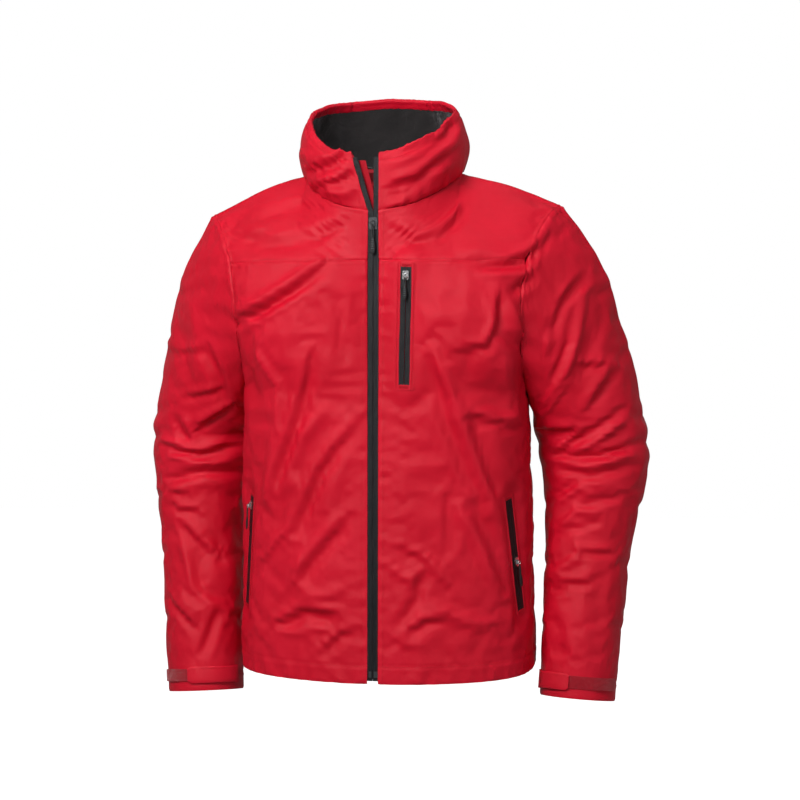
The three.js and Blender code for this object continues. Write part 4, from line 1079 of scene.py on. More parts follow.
SIZES = []
seedn = 100
for side in ("left", "right"):
    K = "L" if side == "left" else "R"
    # --- fronts
    P = HI["F" + K].copy()
    out = FACE_OUT["F" + K]
    N = grid_normals(P, False, out)
    y = ROW["yoke"]
    lo, hi = P[:, :y + 1], P[:, y:]
    Nl, Nh = N[:, :y + 1], N[:, y:]
    arm_rows = np.zeros(lo.shape[1]); arm_rows[:] = 1
    h = seam(lo, Nl, 3, seedn + 1, 1.2, 0.3, 8) + seam(lo, Nl, 1, seedn + 2, 1.2, 0.5, 12) + hem_fold(lo, Nl, 2) + pucker(lo, edge_dist(lo, 2), 2, 0.9, 22, seedn + 3, 26)
    d0 = edge_dist(lo, 0)
    h += -1.4 * np.exp(-(d0 / 1.4) ** 2) + 0.5 * np.exp(-((d0 - 3.5) / 2) ** 2) - 0.45 * np.exp(-((d0 - 7.5) / 1.6) ** 2) + pucker(lo, d0, 0, 0.9, 14, seedn + 4, 20)
    lo = lo + Nl * h[..., None]
    h = seam(hi, Nh, 2, seedn + 5, 1.0, 0.3, 8) + seam(hi, Nh, 3, seedn + 6, 0.5, 0.5, 12) + seam(hi, Nh, 1, seedn + 7, 1.3, 0.5, 12)
    d0 = edge_dist(hi, 0)
    h += -1.4 * np.exp(-(d0 / 1.4) ** 2) + 0.5 * np.exp(-((d0 - 3.5) / 2) ** 2) - 0.45 * np.exp(-((d0 - 7.5) / 1.6) ** 2)
    hi = hi + Nh * h[..., None]
    Nl, Nh = grid_normals(lo, False, out), grid_normals(hi, False, out)
    bf = (lambda s: (lambda o: blend_front(o, s)))(side)
    o = thick(f"{side}_front_panel_cloth", lo, Nl, 1.2, out, "shell", bf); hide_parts(f"{side}_front_panel", f"{side}_side_panel"); declare(o, G["F" + K][:, :R1 + R2 + 1])
    o = thick(f"{side}_front_yoke_cloth", hi, Nh, 1.2, out, "shell", bf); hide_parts(f"{side}_front_yoke"); declare(o, G["F" + K][:, R1 + R2:])
    for g, nn, sd, dd in ((lo, Nl, 3, 2.2), (hi, Nh, 2, 2.4), (lo, Nl, 2, 25.0), (lo, Nl, 0, 7.5), (hi, Nh, 0, 7.5), (hi, Nh, 1, 3.0), (hi, Nh, 1, 7.5)):
        p, q = at_dist(g, nn, sd, dd)
        STITCH.append((p, q, "thread", ("front", side)))
    ar = ROW["arm"]
    for dd in (3.0, 7.5):
        p, q = at_dist(lo[:, ar:], Nl[:, ar:], 1, dd)
        STITCH.append((p, q, "thread", ("front", side)))
    # shoulder seam topstitch
    p, q = at_dist(hi, Nh, 3, 3.0)
    STITCH.append((p[NS * UP + 2:], q[NS * UP + 2:], "thread", ("front", side)))
    STITCH.append((p[2:NS * UP - 2], q[2:NS * UP - 2], "thread", ("front", side)))
    # lining inside, ending above the hem fold
    L0 = SHAPE[IDX["F" + K]]
    NL = grid_normals(L0, False, out)
    o = thick(f"{side}_front_lining_cloth", L0[1:, 3:], NL[1:, 3:], 0.8, out, "lining", bf, off=4.6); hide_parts(f"{side}_front_lining", f"{side}_side_lining")
    # --- sleeves
    P = HI["S" + K].copy()
    N = grid_normals(P, True, True) if False else grid_normals(P, True, FACE_OUT["S" + K])
    d2, d3 = edge_dist(P, 2), edge_dist(P, 3)
    h = -1.2 * np.exp(-(d2 / 1.8) ** 2) + pucker(P, d2, 2, 0.8, 14, seedn + 8) + 0.6 * np.exp(-((d2 - 4) / 2.5) ** 2)
    h += -0.8 * np.exp(-((d3 - 26) / 1.7) ** 2) + 0.5 * np.exp(-((d3 - 22) / 2) ** 2) - 0.9 * np.exp(-(d3 / 1.5) ** 2)
    P = P + N * h[..., None]
    N = grid_normals(P, True, FACE_OUT["S" + K])
    cut = SPLIT * UP
    ba_ = (lambda s: (lambda o: blend_arm(o, s)))(side)
    bo_ = (lambda s: (lambda o: blend_fore(o, s)))(side)
    o = thick(f"{side}_upper_sleeve_cloth", P[:, :cut + 1], N[:, :cut + 1], 1.2, FACE_OUT["S" + K], "shell", ba_, closed=True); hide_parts(f"{side}_upper_sleeve"); declare(o, np.concatenate([G["S" + K], G["S" + K][:1]])[:, :SPLIT + 1])
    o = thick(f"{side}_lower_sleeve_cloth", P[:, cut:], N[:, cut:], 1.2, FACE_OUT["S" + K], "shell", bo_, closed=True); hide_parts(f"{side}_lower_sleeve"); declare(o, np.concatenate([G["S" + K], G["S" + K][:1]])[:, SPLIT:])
    Pc, Nc = np.concatenate([P, P[:1]]), np.concatenate([N, N[:1]])
    for dd in (22.0, 26.0):
        p, q = at_dist(Pc, Nc, 3, dd)
        STITCH.append((p, q, "thread", ("fore", side)))
    S_ = SHAPE[IDX["S" + K]]
    NS_ = grid_normals(S_, True, FACE_OUT["S" + K])
    c2 = SPLIT
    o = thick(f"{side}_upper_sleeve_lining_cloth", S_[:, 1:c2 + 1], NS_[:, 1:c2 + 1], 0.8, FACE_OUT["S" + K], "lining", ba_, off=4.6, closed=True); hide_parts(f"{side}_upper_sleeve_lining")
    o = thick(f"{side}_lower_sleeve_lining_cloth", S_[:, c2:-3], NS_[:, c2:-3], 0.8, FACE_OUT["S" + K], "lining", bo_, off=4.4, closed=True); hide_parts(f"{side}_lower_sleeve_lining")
    BUILT["S" + K] = (P, N)
    BUILT["F" + K] = (lo, Nl, hi, Nh)
    seedn += 20

# --- back: right and left halves joined at the middle
def both(a, b):
    return np.concatenate([a[::-1], b[1:]])


P = both(HI["BR"], HI["BL"])
N = grid_normals(P, False, FACE_OUT["BL"])
y = ROW["yoke"]
lo, hi, Nl, Nh = P[:, :y + 1], P[:, y:], N[:, :y + 1], N[:, y:]
h = seam(lo, Nl, 3, 71, 1.1, 0.4, 9) + seam(lo, Nl, 0, 72) + seam(lo, Nl, 1, 73) + hem_fold(lo, Nl, 2) + pucker(lo, edge_dist(lo, 2), 2, 0.9, 22, 74, 26)
lo = lo + Nl * h[..., None]
h = seam(hi, Nh, 2, 75, 0.8, 0.4, 9) + seam(hi, Nh, 0, 76) + seam(hi, Nh, 1, 77) + seam(hi, Nh, 3, 78, 0.5, 0.5, 12)
hi = hi + Nh * h[..., None]
Nl, Nh = grid_normals(lo, False, FACE_OUT["BL"]), grid_normals(hi, False, FACE_OUT["BL"])
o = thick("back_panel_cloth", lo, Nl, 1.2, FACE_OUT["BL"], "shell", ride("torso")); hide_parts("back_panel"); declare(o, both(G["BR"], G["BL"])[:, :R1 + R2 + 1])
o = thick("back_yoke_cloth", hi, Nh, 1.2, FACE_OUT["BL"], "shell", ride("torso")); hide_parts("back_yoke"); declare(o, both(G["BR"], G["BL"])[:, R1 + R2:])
BUILT["BH"] = (hi, Nh)
for g, nn, sd, dd in ((lo, Nl, 3, 2.2), (hi, Nh, 2, 2.4), (lo, Nl, 2, 25.0), (lo, Nl, 0, 3.0), (lo, Nl, 1, 3.0), (hi, Nh, 0, 3.0), (hi, Nh, 1, 3.0)):
    p, q = at_dist(g, nn, sd, dd)
    STITCH.append((p, q, "thread", ("torso", "")))
L0 = both(SHAPE[IDX["BR"]], SHAPE[IDX["BL"]])
NL = grid_normals(L0, False, FACE_OUT["BL"])
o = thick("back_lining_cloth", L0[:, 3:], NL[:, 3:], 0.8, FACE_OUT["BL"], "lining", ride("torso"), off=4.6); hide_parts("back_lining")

# --- collar
def collar_pieces(P, out, name, lname, on, node, lnode, front, seed):
    N = grid_normals(P, False, out)
    h = -1.1 * np.exp(-(edge_dist(P, 2) / 1.8) ** 2) + pucker(P, edge_dist(P, 2), 2, 1.4, 22, seed, 17)
    dr = edge_dist(P, 3)
    h += pucker(P, dr, 3, 1.0, 13, seed + 1, 8) - 0.9 * np.exp(-((dr - 10.5) / 1.6) ** 2) - 0.6 * np.exp(-(dr / 2.2) ** 2)
    if front:
        d0 = edge_dist(P, 0)
        h += -1.0 * np.exp(-(d0 / 1.4) ** 2) - 0.4 * np.exp(-((d0 - 7) / 1.6) ** 2)
    P = P + N * h[..., None]
    N = grid_normals(P, False, out)
    # the shell rolls over the rim and comes 11 mm down inside
    roll = []
    down = np.array([0, 0, -1.0])
    top, tn = P[:, -1], N[:, -1]
    for k in range(1, 6):
        a = math.pi * k / 5
        roll.append(top - tn * 2.8 * (1 - math.cos(a)) + np.array([0, 0, 2.2]) * math.sin(a))
    for k, dz in enumerate((3, 6, 9, 12, 13.5)):
        j = int(np.searchsorted(-dr[0], -dz)) if False else None
        # walk back down the outer skin and stand off from it
        pts, nn = at_dist(P, N, 3, dz)
        if front and False:
            pass
        roll.append(pts - nn * (5.6, 5.5, 5.2, 4.9, 4.2)[k])
    R = np.concatenate([P, np.stack(roll, 1)], axis=1)
    NR_ = grid_normals(R, False, out)
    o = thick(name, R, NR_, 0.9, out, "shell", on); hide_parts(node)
    p, q = at_dist(P, N, 3, 10.5); STITCH.append((p, q, "thread", node))
    p, q = at_dist(P, N, 2, 2.6); STITCH.append((p, q, "thread", node))
    # fleece lining
    keep = int(P.shape[1] * 0.90)
    Q, QN = P[:, :keep], N[:, :keep]
    c0 = (4 if front else 0) * UP
    Q, QN = Q[c0:], QN[c0:]
    bump = 0.5 * soft_noise(Q.reshape(-1, 3), 16, seed + 5, 3).reshape(Q.shape[:2])
    if not front:
        bump = bump + 1.1 * np.exp(-(Q[..., 0] / 1.2) ** 2) - 0.5 * np.exp(-((np.abs(Q[..., 0]) - 4.0) / 1.6) ** 2)
    Qi = Q - QN * (3.4 + bump)[..., None]
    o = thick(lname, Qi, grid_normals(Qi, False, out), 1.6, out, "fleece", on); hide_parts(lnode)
    return P, N


for side in ("left", "right"):
    K = "L" if side == "left" else "R"
    bf = (lambda s: (lambda o: blend_front(o, s)))(side)
    BUILT["C" + K] = collar_pieces(HI["CF" + K], FACE_OUT["CF" + K], f"{side}_collar_front_cloth", f"{side}_collar_front_fleece", bf, f"{side}_collar_front", f"{side}_collar_front_lining", True, 300 + (side == "left") * 10)
BUILT["CB"] = collar_pieces(both(HI["CBR"], HI["CBL"]), FACE_OUT["CBL"], "back_collar_cloth", "back_collar_fleece", ride("torso"), "back_collar", "back_collar_lining", False, 330)


# a tape covers the neck seam inside
def neck_tape(PC, NCn, PY, NY, name, on):
    rows, nn = [], []
    for j in (5, 2, 0):
        rows.append(PY[:, -1 - j]); nn.append(NY[:, -1 - j])
    for j in (1, 3, 5):
        rows.append(PC[:, j]); nn.append(NCn[:, j])
    A, B = np.stack(rows, 1), np.stack(nn, 1)
    off = np.array([1.9, 2.6, 3.0, 2.6, 2.4, 2.2])
    A = A - B * off[None, :, None]
    g = grid_normals(A, False, True)
    out = float((g * B).sum()) > 0
    return thick(name, A, grid_normals(A, False, out), 1.0, out, "web", on)


n_ = NS * UP + 1
for side in ("left", "right"):
    K = "L" if side == "left" else "R"
    lo_, Nl_, hi_, Nh_ = BUILT["F" + K]
    pc, nc = BUILT["C" + K]
    neck_tape(pc, nc, hi_[:n_], Nh_[:n_], f"{side}_neck_tape", (lambda s: (lambda o: blend_front(o, s)))(side))
mid = NC * UP
pc, nc = BUILT["CB"]
hi, Nh = BUILT["BH"]
neck_tape(pc, nc, hi[mid - n_ + 1:mid + n_], Nh[mid - n_ + 1:mid + n_], "back_neck_tape", ride("torso"))

# ------------------------------------------------------------------ small cloth strips
def strip(name, P, N, t, mat, on, off=0.0):
    P, N = np.asarray(P, float), np.asarray(N, float)
    g = grid_normals(P, False, True)
    out = float((g * N).sum()) > 0
    N = grid_normals(P, False, out)
    return thick(name, P, N, t, out, mat, on, off=off)


OUT = np.array([0, -655, ZIP_RISE]); OUT = OUT / np.linalg.norm(OUT)


def on_zip(x, off, z):
    return np.array([x, zip_y(z), z]) + OUT * off


def join_boxes(name, boxes, mat, on):
    """many small blocks as one mesh; each is (centre, three half-vectors) in mm"""
    c8 = np.array([[a, b, c] for a in (-1, 1) for b in (-1, 1) for c in (-1, 1)], float)
    f8 = np.array([[0, 1, 3, 2], [4, 6, 7, 5], [0, 4, 5, 1], [2, 3, 7, 6], [0, 2, 6, 4], [1, 5, 7, 3]])
    C = np.array([b[0] for b in boxes])
    A = np.array([b[1] for b in boxes])
    V = C[:, None] + np.einsum("kj,njc->nkc", c8, A)
    F = (np.arange(len(C)) * 8)[:, None, None] + f8
    # keep every block's faces outward
    det = np.linalg.det(A)
    F[det < 0] = F[det < 0][:, :, ::-1]
    o = mesh_obj(name, frm(V.reshape(-1, 3)), F.reshape(-1, 4), None, None, smooth_faces=False)
    return finish_piece(o, mat, on)


def dashes(P, N, pitch=3.3, length=2.4, r=0.28, lift=0.12):
    out = []
    s = np.concatenate([[0], np.cumsum(np.linalg.norm(np.diff(P, axis=0), axis=1))])
    if s[-1] < pitch:
        return out
    for a in np.arange(0.6, s[-1] - length, pitch):
        p = np.array([np.interp(a, s, P[:, i]) for i in range(3)])
        q = np.array([np.interp(a + length, s, P[:, i]) for i in range(3)])
        n = np.array([np.interp(a + length / 2, s, N[:, i]) for i in range(3)])
        d = q - p
        l = np.linalg.norm(d)
        if l < 0.3:
            continue
        d /= l
        n -= d * (n @ d)
        n /= max(np.linalg.norm(n), 1e-6)
        w = np.cross(d, n)
        out.append(((p + q) / 2 + n * lift, np.array([d * l / 2, w * r, n * 0.26])))
    return out


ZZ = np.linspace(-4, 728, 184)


def zip_lean(k, z):
    return k * (0 if k > 0 else lean(z))


for side, k in (("left", 1), ("right", -1)):
    on = ride(f"{side}_front")
    xs = np.array([0.12, 0.9, 2.6, 4.8, 7.4, 9.6])
    P = []
    for j, x in enumerate(xs):
        col = []
        for z in ZZ:
            lx = x + (lean(z) if k < 0 else 0.0)
            hgt = -0.15 + 0.30 * math.exp(-((x - 1.4) / 1.2) ** 2) - 0.28 * math.exp(-(x - 0.12) / 0.3) + 0.10 * math.sin(z / 9.1 + j) - (0.6 if x > 8 else 0)
            col.append(on_zip(k * lx, hgt, z))
        P.append(col)
    P = np.array(P)
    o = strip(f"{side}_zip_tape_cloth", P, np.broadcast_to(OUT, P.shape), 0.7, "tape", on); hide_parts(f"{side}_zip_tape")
    teeth = []
    for i, z in enumerate(np.arange(-1, 724, 2.0)):
        zz = z + (0.5 if k > 0 else -0.5)
        lx = 1.7 + (lean(zz) if k < 0 else 0)
        c = on_zip(k * lx, -1.7, zz)
        teeth.append((c, np.array([[1.5, 0, 0], OUT * 0.75, np.array([0, 0.0, 0.55])])))
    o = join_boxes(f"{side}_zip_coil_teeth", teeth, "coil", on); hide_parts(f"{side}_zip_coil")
    # a stitch row holding the tape under the front edge
    pts = np.array([on_zip(k * (6.4 + (lean(z) if k < 0 else 0)), 0.0, z) for z in ZZ])
    STITCH.append((pts, np.broadcast_to(OUT, pts.shape), "blackthread", ("zip", side)))

# placket behind the zip, in the darker facing red: painted shade for its recess behind the zip
ZP = np.linspace(-3, 724, 124)
XP = np.linspace(0, 1, 9)
P = np.array([[on_zip(lerp(-24 - 0.8 * lean(z), 7 - 0.88 * lean(z), x), -5.6 - 0.9 * math.sin(z / 37 + x * 2) * math.sin(math.pi * x) + (0.0 if z < 640 else 0.4), z) for z in ZP] for x in XP])
P[..., 1] += 0.0
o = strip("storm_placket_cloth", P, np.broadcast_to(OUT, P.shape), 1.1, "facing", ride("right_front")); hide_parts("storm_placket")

# ------------------------------------------------------------------ pocket zips
for name, body, length, width in (("chest_pocket", "left_front", None, 6.0), ("left_hand_pocket", "torso", None, 6.0), ("right_hand_pocket", "torso", None, 6.0)):
    top, bot, n = [np.array(a, float) for a in ZIPS[name]]
    top, bot = top + np.array([0, LOOP_Y, LOOP_Z]), bot + np.array([0, LOOP_Y, LOOP_Z])
    d = bot - top; L = np.linalg.norm(d); d /= L
    w = np.cross(d, n); w /= np.linalg.norm(w)
    on = ride(body)
    ts = np.linspace(0, L, 60)
    for s, tag in ((1, "a"), (-1, "b")):
        xs = [0.15, 0.9, 2.2, 4.4, 6.6, 8.6]
        P = np.array([[top + d * t + w * s * x + n * (0.55 + 0.25 * math.exp(-((x - 1.4) / 1.0) ** 2) - 0.3 * math.exp(-(x - 0.15) / 0.3)) for t in ts] for x in xs])
        o = strip(f"{name}_tape_{tag}", P, np.broadcast_to(n, P.shape), 0.5, "tape", on)
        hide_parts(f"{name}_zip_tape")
    # welts: folded shell edges each side, with a row of stitches
    for s, tag in ((1, "a"), (-1, "b")):
        xs = np.linspace(7.6, 14.0, 8)
        tw = np.linspace(-6, L + 6, 72)
        def wh(x):
            return 0.30 + 1.1 * math.exp(-((x - 9.2) / 1.5) ** 2) - 0.35 * math.exp(-((x - 12.0) / 0.9) ** 2) - (0.4 if x < 7.9 else 0) - (0.6 if x > 13.7 else 0)
        P = np.array([[top + d * t + w * s * (x + 0.25 * math.sin(t / 17 + s)) + n * (wh(x) + 0.12 * math.sin(t / 6.3 + x)) for t in tw] for x in xs])
        o = strip(f"{name}_welt_{tag}", P, np.broadcast_to(n, P.shape), 0.5, "shell", on)
        pts = np.array([top + d * t + w * s * 12.0 + n * 0.4 for t in tw])
        STITCH.append((pts, np.broadcast_to(n, pts.shape), "thread", ("torso", "") if body == "torso" else ("zip", "left")))
    # end bars
    bars = []
    for t in (-2.5, L + 2.5):
        for j in range(11):
            x = (j - 5) * 1.15
            bars.append((top + d * (t + 0.35 * (j % 2)) + w * x + n * 1.15, np.array([w * 0.42, d * 1.7, n * 0.3])))
    join_boxes(f"{name}_bartacks", bars, "thread", on)
    P = np.array([[top + d * t + w * x + n * (0.75 - 0.3 * abs(x) / 9) for x in np.linspace(-11, 11, 7)] for t in np.linspace(-7, 0.5, 5)])
    strip(f"{name}_top_end", P, np.broadcast_to(n, P.shape), 0.4, "shell", on)
    P = np.array([[top + d * t + w * x + n * (0.75 - 0.3 * abs(x) / 9) for x in np.linspace(-11, 11, 7)] for t in np.linspace(L - 0.5, L + 7, 5)])
    strip(f"{name}_bottom_end", P, np.broadcast_to(n, P.shape), 0.4, "shell", on)

# ------------------------------------------------------------------ cuffs
CUFF_R = 57.0
CD = np.array([-0.06, -0.2, -1.0]); CD /= np.linalg.norm(CD)
cx = np.array([1.0, 0, 0]) - CD * CD[0]; cx /= np.linalg.norm(cx)
cy = np.cross(CD, cx)
if cy[1] > 0:
    cy = -cy
for side, k in (("left", 1), ("right", -1)):
    KM = np.array([k, 1, 1])
    CUFF_C = G["SL" if k > 0 else "SR"][:, -1].mean(0) * KM

    def cuff_grid(a0, a1, r0, w, n, m, shape=None, shift=0.0, wave=0.0):
        P, N = [], []
        for i, a in enumerate(np.linspace(a0, a1, n)):
            rp, rn = [], []
            for h in np.linspace(-w / 2, w / 2, m):
                t0 = math.radians(a)
                hh = h
                if shape:
                    hh = h * shape((a - a0) / (a1 - a0))
                r = CUFF_R + 0.4 + r0 + wave * math.sin(a / 9 + h / 6)
                rad = cx * math.cos(t0) + cy * math.sin(t0)
                rp.append((CUFF_C + CD * (-24 + shift + hh) + rad * r) * KM)
                rn.append(rad * KM)
            P.append(rp); N.append(rn)
        return np.array(P), np.array(N)

    tab_end = 100 if k > 0 else 78
    fore = ride(f"{side}_forearm")
    P, N = cuff_grid(24, 129, 2.0, 18, 40, 7, wave=0.15)
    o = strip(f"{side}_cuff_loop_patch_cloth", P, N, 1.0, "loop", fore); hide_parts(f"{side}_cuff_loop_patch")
    on = ride(f"{side}_cuff_tab_body")
    P, N = cuff_grid(tab_end + 3, 126, 3.2, 16, 16, 6)
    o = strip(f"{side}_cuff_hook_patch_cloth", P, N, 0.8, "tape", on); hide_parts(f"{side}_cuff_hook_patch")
    rnd = lambda u: (1 - max(0, 0.10 - u) ** 2 * 28) if u < 0.10 else 1.0
    P, N = cuff_grid(tab_end, 152, 5.2, 24, 44, 13, shape=rnd)
    e = np.minimum(edge_dist(P, 0), np.minimum(edge_dist(P, 2), edge_dist(P, 3)))
    hh = -0.9 * np.exp(-(e / 1.2) ** 2) - 0.4 * np.exp(-((e - 3.2) / 0.9) ** 2) + 0.35 * soft_noise(P.reshape(-1, 3), 22, 5 + k, 2).reshape(e.shape)
    P = P + N * hh[..., None]
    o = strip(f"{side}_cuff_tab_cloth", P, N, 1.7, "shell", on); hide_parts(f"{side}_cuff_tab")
    for sd in (0, 2, 3):
        p, q = at_dist(P, N, sd, 3.2)
        STITCH.append((p[3:-3] if sd else p[2:-2], q[3:-3] if sd else q[2:-2], "thread", ("tab", side)))
    p, q = at_dist(P, N, 1, 4.0)
    STITCH.append((p, q, "thread", ("tab", side)))
    # binding at the tab's sewn end
    P, N = cuff_grid(149, 155, 4.6, 27, 6, 13)
    strip(f"{side}_cuff_tab_root", P, N, 1.6, "shell", fore)

# ------------------------------------------------------------------ pocket bags and the loop
for name, body, seed in (("left_hand_pocket_bag", "torso", 41), ("right_hand_pocket_bag", "torso", 42), ("chest_pocket_bag", "left_front", 43)):
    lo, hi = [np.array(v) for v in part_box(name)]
    lo, hi = lo * 1000 + np.array([0, LOOP_Y, LOOP_Z]), hi * 1000 + np.array([0, LOOP_Y, LOOP_Z])
    n, m = 34, 44
    u, v = np.linspace(0, 1, n), np.linspace(0, 1, m)
    skins = []
    for s in (1, -1):
        g = np.zeros((n, m, 3))
        for i, a in enumerate(u):
            for j, b in enumerate(v):
                sag = 0.06 * math.sin(math.pi * a)
                bow = (1 - abs(2 * a - 1) ** 4) ** 0.5 * (1 - abs(2 * b - 1) ** 6) ** 0.5
                g[i, j] = [lerp(lo[0], hi[0], 0.03 + 0.94 * (0.5 + (a - 0.5) * (1 - 0.10 * (1 - b) ** 3))), (lo[1] + hi[1]) / 2 + s * (hi[1] - lo[1]) * 0.44 * bow, lerp(lo[2], hi[2], 0.02 + 0.95 * (b - sag * (1 - b) * 0.3))]
        nz = soft_noise(g.reshape(-1, 3) * np.array([1, 0, 0.7]), 40, seed + s, 3).reshape(n, m)
        edge = np.minimum(np.minimum(u, 1 - u)[:, None], np.minimum(v, 1 - v)[None, :])
        g[..., 1] += nz * 0.9 * np.clip(edge * 8, 0, 1)
        skins.append(g)
    P = np.concatenate([skins[0], skins[1][::-1][1:-1]])
    gn = grid_normals(P, True, True)
    cen = P.reshape(-1, 3).mean(0)
    out = float(((P - cen) * gn).sum()) > 0
    gn = grid_normals(P, True, out)
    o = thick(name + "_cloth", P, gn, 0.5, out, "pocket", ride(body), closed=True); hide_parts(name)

pts = Curve([[-30, LOOP_Y - 3, LOOP_Z - 8], [-18, LOOP_Y - 6, LOOP_Z - 1], [0, LOOP_Y - 8, LOOP_Z + 1], [18, LOOP_Y - 6, LOOP_Z - 1], [30, LOOP_Y - 3, LOOP_Z - 8]])
P = []
for t in np.linspace(0, 1, 40):
    c = pts.at(t)
    P.append([c + np.array([0, 0.5 * math.sin(3 * t + h), h]) for h in np.linspace(-3.8, 3.8, 7)])
P = np.array(P)
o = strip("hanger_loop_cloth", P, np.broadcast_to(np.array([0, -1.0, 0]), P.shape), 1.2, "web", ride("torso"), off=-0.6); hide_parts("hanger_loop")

# ------------------------------------------------------------------ stitches
groups = {}
for P, N, thread, key in STITCH:
    k = key if isinstance(key, tuple) else {"left_collar_front": ("front", "left"), "right_collar_front": ("front", "right"), "back_collar": ("torso", "")}[key]
    groups.setdefault((k, thread), []).extend(dashes(np.asarray(P), np.asarray(N)))
for (k, thread), boxes in groups.items():
    if not boxes:
        continue
    kind, side = k
    on = {"front": lambda o: blend_front(o, side), "torso": ride("torso"), "fore": lambda o: blend_fore(o, side), "arm": lambda o: blend_arm(o, side),
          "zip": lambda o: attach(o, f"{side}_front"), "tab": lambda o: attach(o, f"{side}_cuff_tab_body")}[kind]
    join_boxes(f"{side + '_' if side else ''}{kind}_stitches_{thread}", boxes, thread, on)


def show_node(name, mat, width=0.0004):
    o = NODE[name]
    o.data.materials.clear()
    o.data.materials.append(M[mat])
    b = o.modifiers.new("edge", 'BEVEL')
    b.width = width; b.segments = 2; b.limit_method = 'ANGLE'; b.angle_limit = math.radians(35)
    return o


show_node("main_zip_slider", "darkmetal")
show_node("zip_retainer_box", "darkmetal")
show_node("zip_insertion_pin", "darkmetal")
for p in ("chest_pocket", "left_hand_pocket", "right_hand_pocket"):
    show_node(p + "_slider", "metal")

# ------------------------------------------------------------------ zip pulls: ring, cord loop and ribbed grip
def node_axes(name, out):
    """the vertices of a CAD piece, in mm from the hem-front datum"""
    co = np.array([v.co for v in NODE[name].data.vertices], float) * 1000 + np.array([0, LOOP_Y, LOOP_Z])
    return co


def tube(path, r, n=8, closed=False):
    path = np.asarray(path, float)
    T = np.gradient(np.concatenate([path[-1:], path, path[:1]]) if closed else path, axis=0)
    if closed:
        T = T[1:-1]
    T /= np.linalg.norm(T, axis=1, keepdims=True)
    ref = np.array([0.3, 0.5, 0.8])
    V = []
    for p, t in zip(path, T):
        a = np.cross(t, ref); a /= np.linalg.norm(a)
        b = np.cross(t, a)
        V.append([p + r * (math.cos(2 * math.pi * k / n) * a + math.sin(2 * math.pi * k / n) * b) for k in range(n)])
    V = np.array(V)
    m = len(V)
    F = []
    for i in range(m if closed else m - 1):
        j = (i + 1) % m
        for k in range(n):
            l = (k + 1) % n
            F.append((i * n + k, i * n + l, j * n + l, j * n + k))
    if not closed:
        F.append(tuple(range(n)))
        F.append(tuple((m - 1) * n + k for k in reversed(range(n))))
    return V.reshape(-1, 3), F


def pull_piece(name, out, down, body, grip_w, cord):
    co = node_axes(name, out)
    out = np.array(out) / np.linalg.norm(out)
    down = np.array(down) / np.linalg.norm(down)
    down = down - out * (down @ out); down /= np.linalg.norm(down)
    w = np.cross(down, out)
    s = co @ down
    top, bot = s.min(), s.max()
    cen = co.mean(0)
    h0 = (co @ out)
    base = cen - down * (cen @ down) - out * (cen @ out) + out * h0.mean()
    base = base - w * (base @ w) + w * ((co @ w).max() + (co @ w).min()) / 2
    L = bot - top + 9.0
    at = lambda t, x=0.0, h=0.0: base + down * (top + t) + w * x + out * h
    on = ride(body)
    rr = 3.3 if grip_w > 7 else 2.9
    ring = [at(rr + rr * math.sin(a) , rr * 0.85 * math.cos(a), 0.15 * math.cos(a)) for a in np.linspace(0, 2 * math.pi, 24, endpoint=False)]
    V, F = tube(ring, 0.62, 8, True)
    finish_piece(mesh_obj(name + "_ring", frm(V), F), "metal" if grip_w < 7.5 else "darkmetal", on)
    c0, c1 = rr * 2 - 0.6, L * cord
    for sgn in (-1, 1):
        path = [at(lerp(c0 - 0.6, c1 + 2, t), sgn * (0.35 + 0.85 * math.sin(math.pi * min(1, t * 0.9))), 0.25) for t in np.linspace(0, 1, 10)]
        V, F = tube(path, 0.72, 7)
        finish_piece(mesh_obj(name + ("_cord_a" if sgn > 0 else "_cord_b"), frm(V), F), "rubber", on)
    # the grip: a soft flattened form, waisted, with ribs across it
    n, m = 44, 22
    V = np.zeros((n, m, 3))
    for i, t in enumerate(np.linspace(0, 1, n)):
        z = lerp(c1, L + (0.6 if grip_w > 7.5 else 1.5), t)
        env = min(1.0, (math.sin(math.pi * min(max(t, 0.0), 1.0)) + 0.02) ** 0.28)
        wd = grip_w / 2 * env * (0.74 + 0.26 * smooth(0.0, 0.9, t))
        rib = 0.22 * math.cos(t * 7 * 2 * math.pi) * (0.15 < t < 0.85)
        for k in range(m):
            a = 2 * math.pi * k / m
            ca, sa = math.cos(a), math.sin(a)
            V[i, k] = at(z, wd * math.copysign(abs(ca) ** 0.75, ca), (1.25 * env + rib * abs(sa)) * math.copysign(abs(sa) ** 0.7, sa))
    F = [(i * m + k, (i + 1) * m + k, (i + 1) * m + (k + 1) % m, i * m + (k + 1) % m) for i in range(n - 1) for k in range(m)]
    F += [tuple(range(m)), tuple((n - 1) * m + k for k in reversed(range(m)))]
    g = V.reshape(-1, 3)
    me_c = g.mean(0)
    q = F[m * 20]
    nn = np.cross(g[q[1]] - g[q[0]], g[q[3]] - g[q[0]])
    if nn @ (g[q[0]] - me_c) < 0:
        F = [tuple(reversed(f)) for f in F]
    o = finish_piece(mesh_obj(name + "_grip", frm(g), F), "rubber", on)
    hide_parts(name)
    return o


zdown = np.array([0, -ZIP_RISE, -655.0])
zdown = np.array([0, zip_y(0) - zip_y(655), -655.0])
pull_piece("main_zip_pull", OUT, zdown, "main_zip_pull_body", 7.6, 0.52)
for p, b in (("chest_pocket", "chest_pull_body"), ("left_hand_pocket", "left_hand_pull_body"), ("right_hand_pocket", "right_hand_pull_body")):
    t_, b_, n_ = [np.array(a, float) for a in ZIPS[p]]
    pull_piece(p + "_pull", n_, b_ - t_, b, 6.6, 0.48)

# ------------------------------------------------------------------ stage, light, camera
def quad(name, pts):
    me = bpy.data.meshes.new(name)
    me.from_pydata(pts, [], [(0, 1, 2, 3)])
    o = link(bpy.data.objects.new(name, me))
    return o


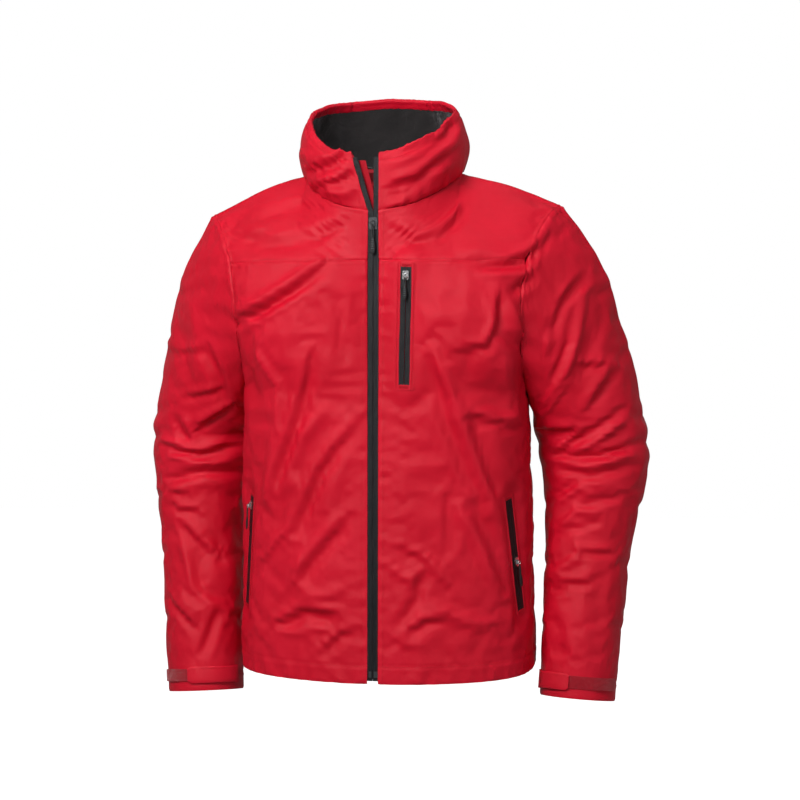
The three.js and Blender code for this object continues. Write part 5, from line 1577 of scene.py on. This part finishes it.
fl = quad("studio_floor", [(-8, -6, -1.45), (8, -6, -1.45), (8, 6, -1.45), (-8, 6, -1.45)])
m, nt, b = nodes_of("pale_floor")
b.inputs["Base Color"].default_value = (0.86, 0.86, 0.86, 1); b.inputs["Roughness"].default_value = 0.7
b.inputs["Emission Color"].default_value = (1, 1, 1, 1); b.inputs["Emission Strength"].default_value = 0.86
nz = add(nt, "ShaderNodeTexNoise", Scale=6.0, Detail=3.0)
rr = add(nt, "ShaderNodeValToRGB")
rr.color_ramp.elements[0].color = (0.84, 0.84, 0.84, 1); rr.color_ramp.elements[1].color = (0.88, 0.88, 0.88, 1)
nt.links.new(nz.outputs["Fac"], rr.inputs["Fac"]); nt.links.new(rr.outputs["Color"], b.inputs["Base Color"])
fl.data.materials.append(m)
m = bpy.data.materials.new("white_backdrop"); m.use_nodes = True
nt = m.node_tree; nt.nodes.clear()
em = nt.nodes.new("ShaderNodeEmission"); em.inputs["Color"].default_value = (1, 1, 1, 1); em.inputs["Strength"].default_value = 1.0
ou = nt.nodes.new("ShaderNodeOutputMaterial"); nt.links.new(em.outputs["Emission"], ou.inputs["Surface"])
walls = [quad("studio_backdrop", [(-8, 6, -6), (8, 6, -6), (8, 6, 8), (-8, 6, 8)]), quad("studio_wall_front", [(-8, -6, -6), (8, -6, -6), (8, -6, 8), (-8, -6, 8)]),
         quad("studio_wall_left", [(8, -6, -6), (8, 6, -6), (8, 6, 8), (8, -6, 8)]), quad("studio_wall_right", [(-8, -6, -6), (-8, 6, -6), (-8, 6, 8), (-8, -6, 8)])]
for w_ in walls:
    w_.data.materials.append(m)
for w_ in walls + [fl]:
    w_.visible_diffuse = w_.visible_glossy = w_.visible_shadow = False

wd = bpy.data.worlds.new("studio"); wd.use_nodes = True
bpy.context.scene.world = wd
wd.node_tree.nodes["Background"].inputs["Color"].default_value = (1, 1, 1, 1)
wd.node_tree.nodes["Background"].inputs["Strength"].default_value = 0.22


def area(name, loc, target, size, power, color=(1, 1, 1)):
    l = bpy.data.lights.new(name, 'AREA')
    l.shape = 'RECTANGLE'; l.size, l.size_y = size; l.energy = power; l.color = color
    o = link(bpy.data.objects.new(name, l))
    o.location = loc
    o.rotation_mode = 'QUATERNION'
    o.rotation_quaternion = (Vector(target) - Vector(loc)).to_track_quat('-Z', 'Y')
    return o


area("key", (-0.72, -2.05, 1.15), (0, -0.05, -0.22), (1.1, 0.9), 62)
area("fill", (1.7, -2.3, 0.5), (0, -0.05, -0.3), (1.6, 1.6), 16)
area("top", (0.1, 0.1, 2.0), (0, 0.0, -0.3), (1.6, 1.2), 9)

cam = bpy.data.cameras.new("camera")
cam.lens, cam.sensor_width = 86.9, 36.0
co = link(bpy.data.objects.new("camera", cam))
co.location = (0.4578, -2.8374, -0.053)
co.rotation_mode = 'QUATERNION'
co.rotation_quaternion = (Vector((0.0198, -0.0719, -0.321)) - co.location).to_track_quat('-Z', 'Y') @ Quaternion((0, 0, 1), math.radians(-0.5))
scene = bpy.context.scene
scene.camera = co
scene.view_settings.view_transform = 'Standard'

# ------------------------------------------------------------------ sizes
print("SIZES", SIZES)
bpy.context.view_layer.update()
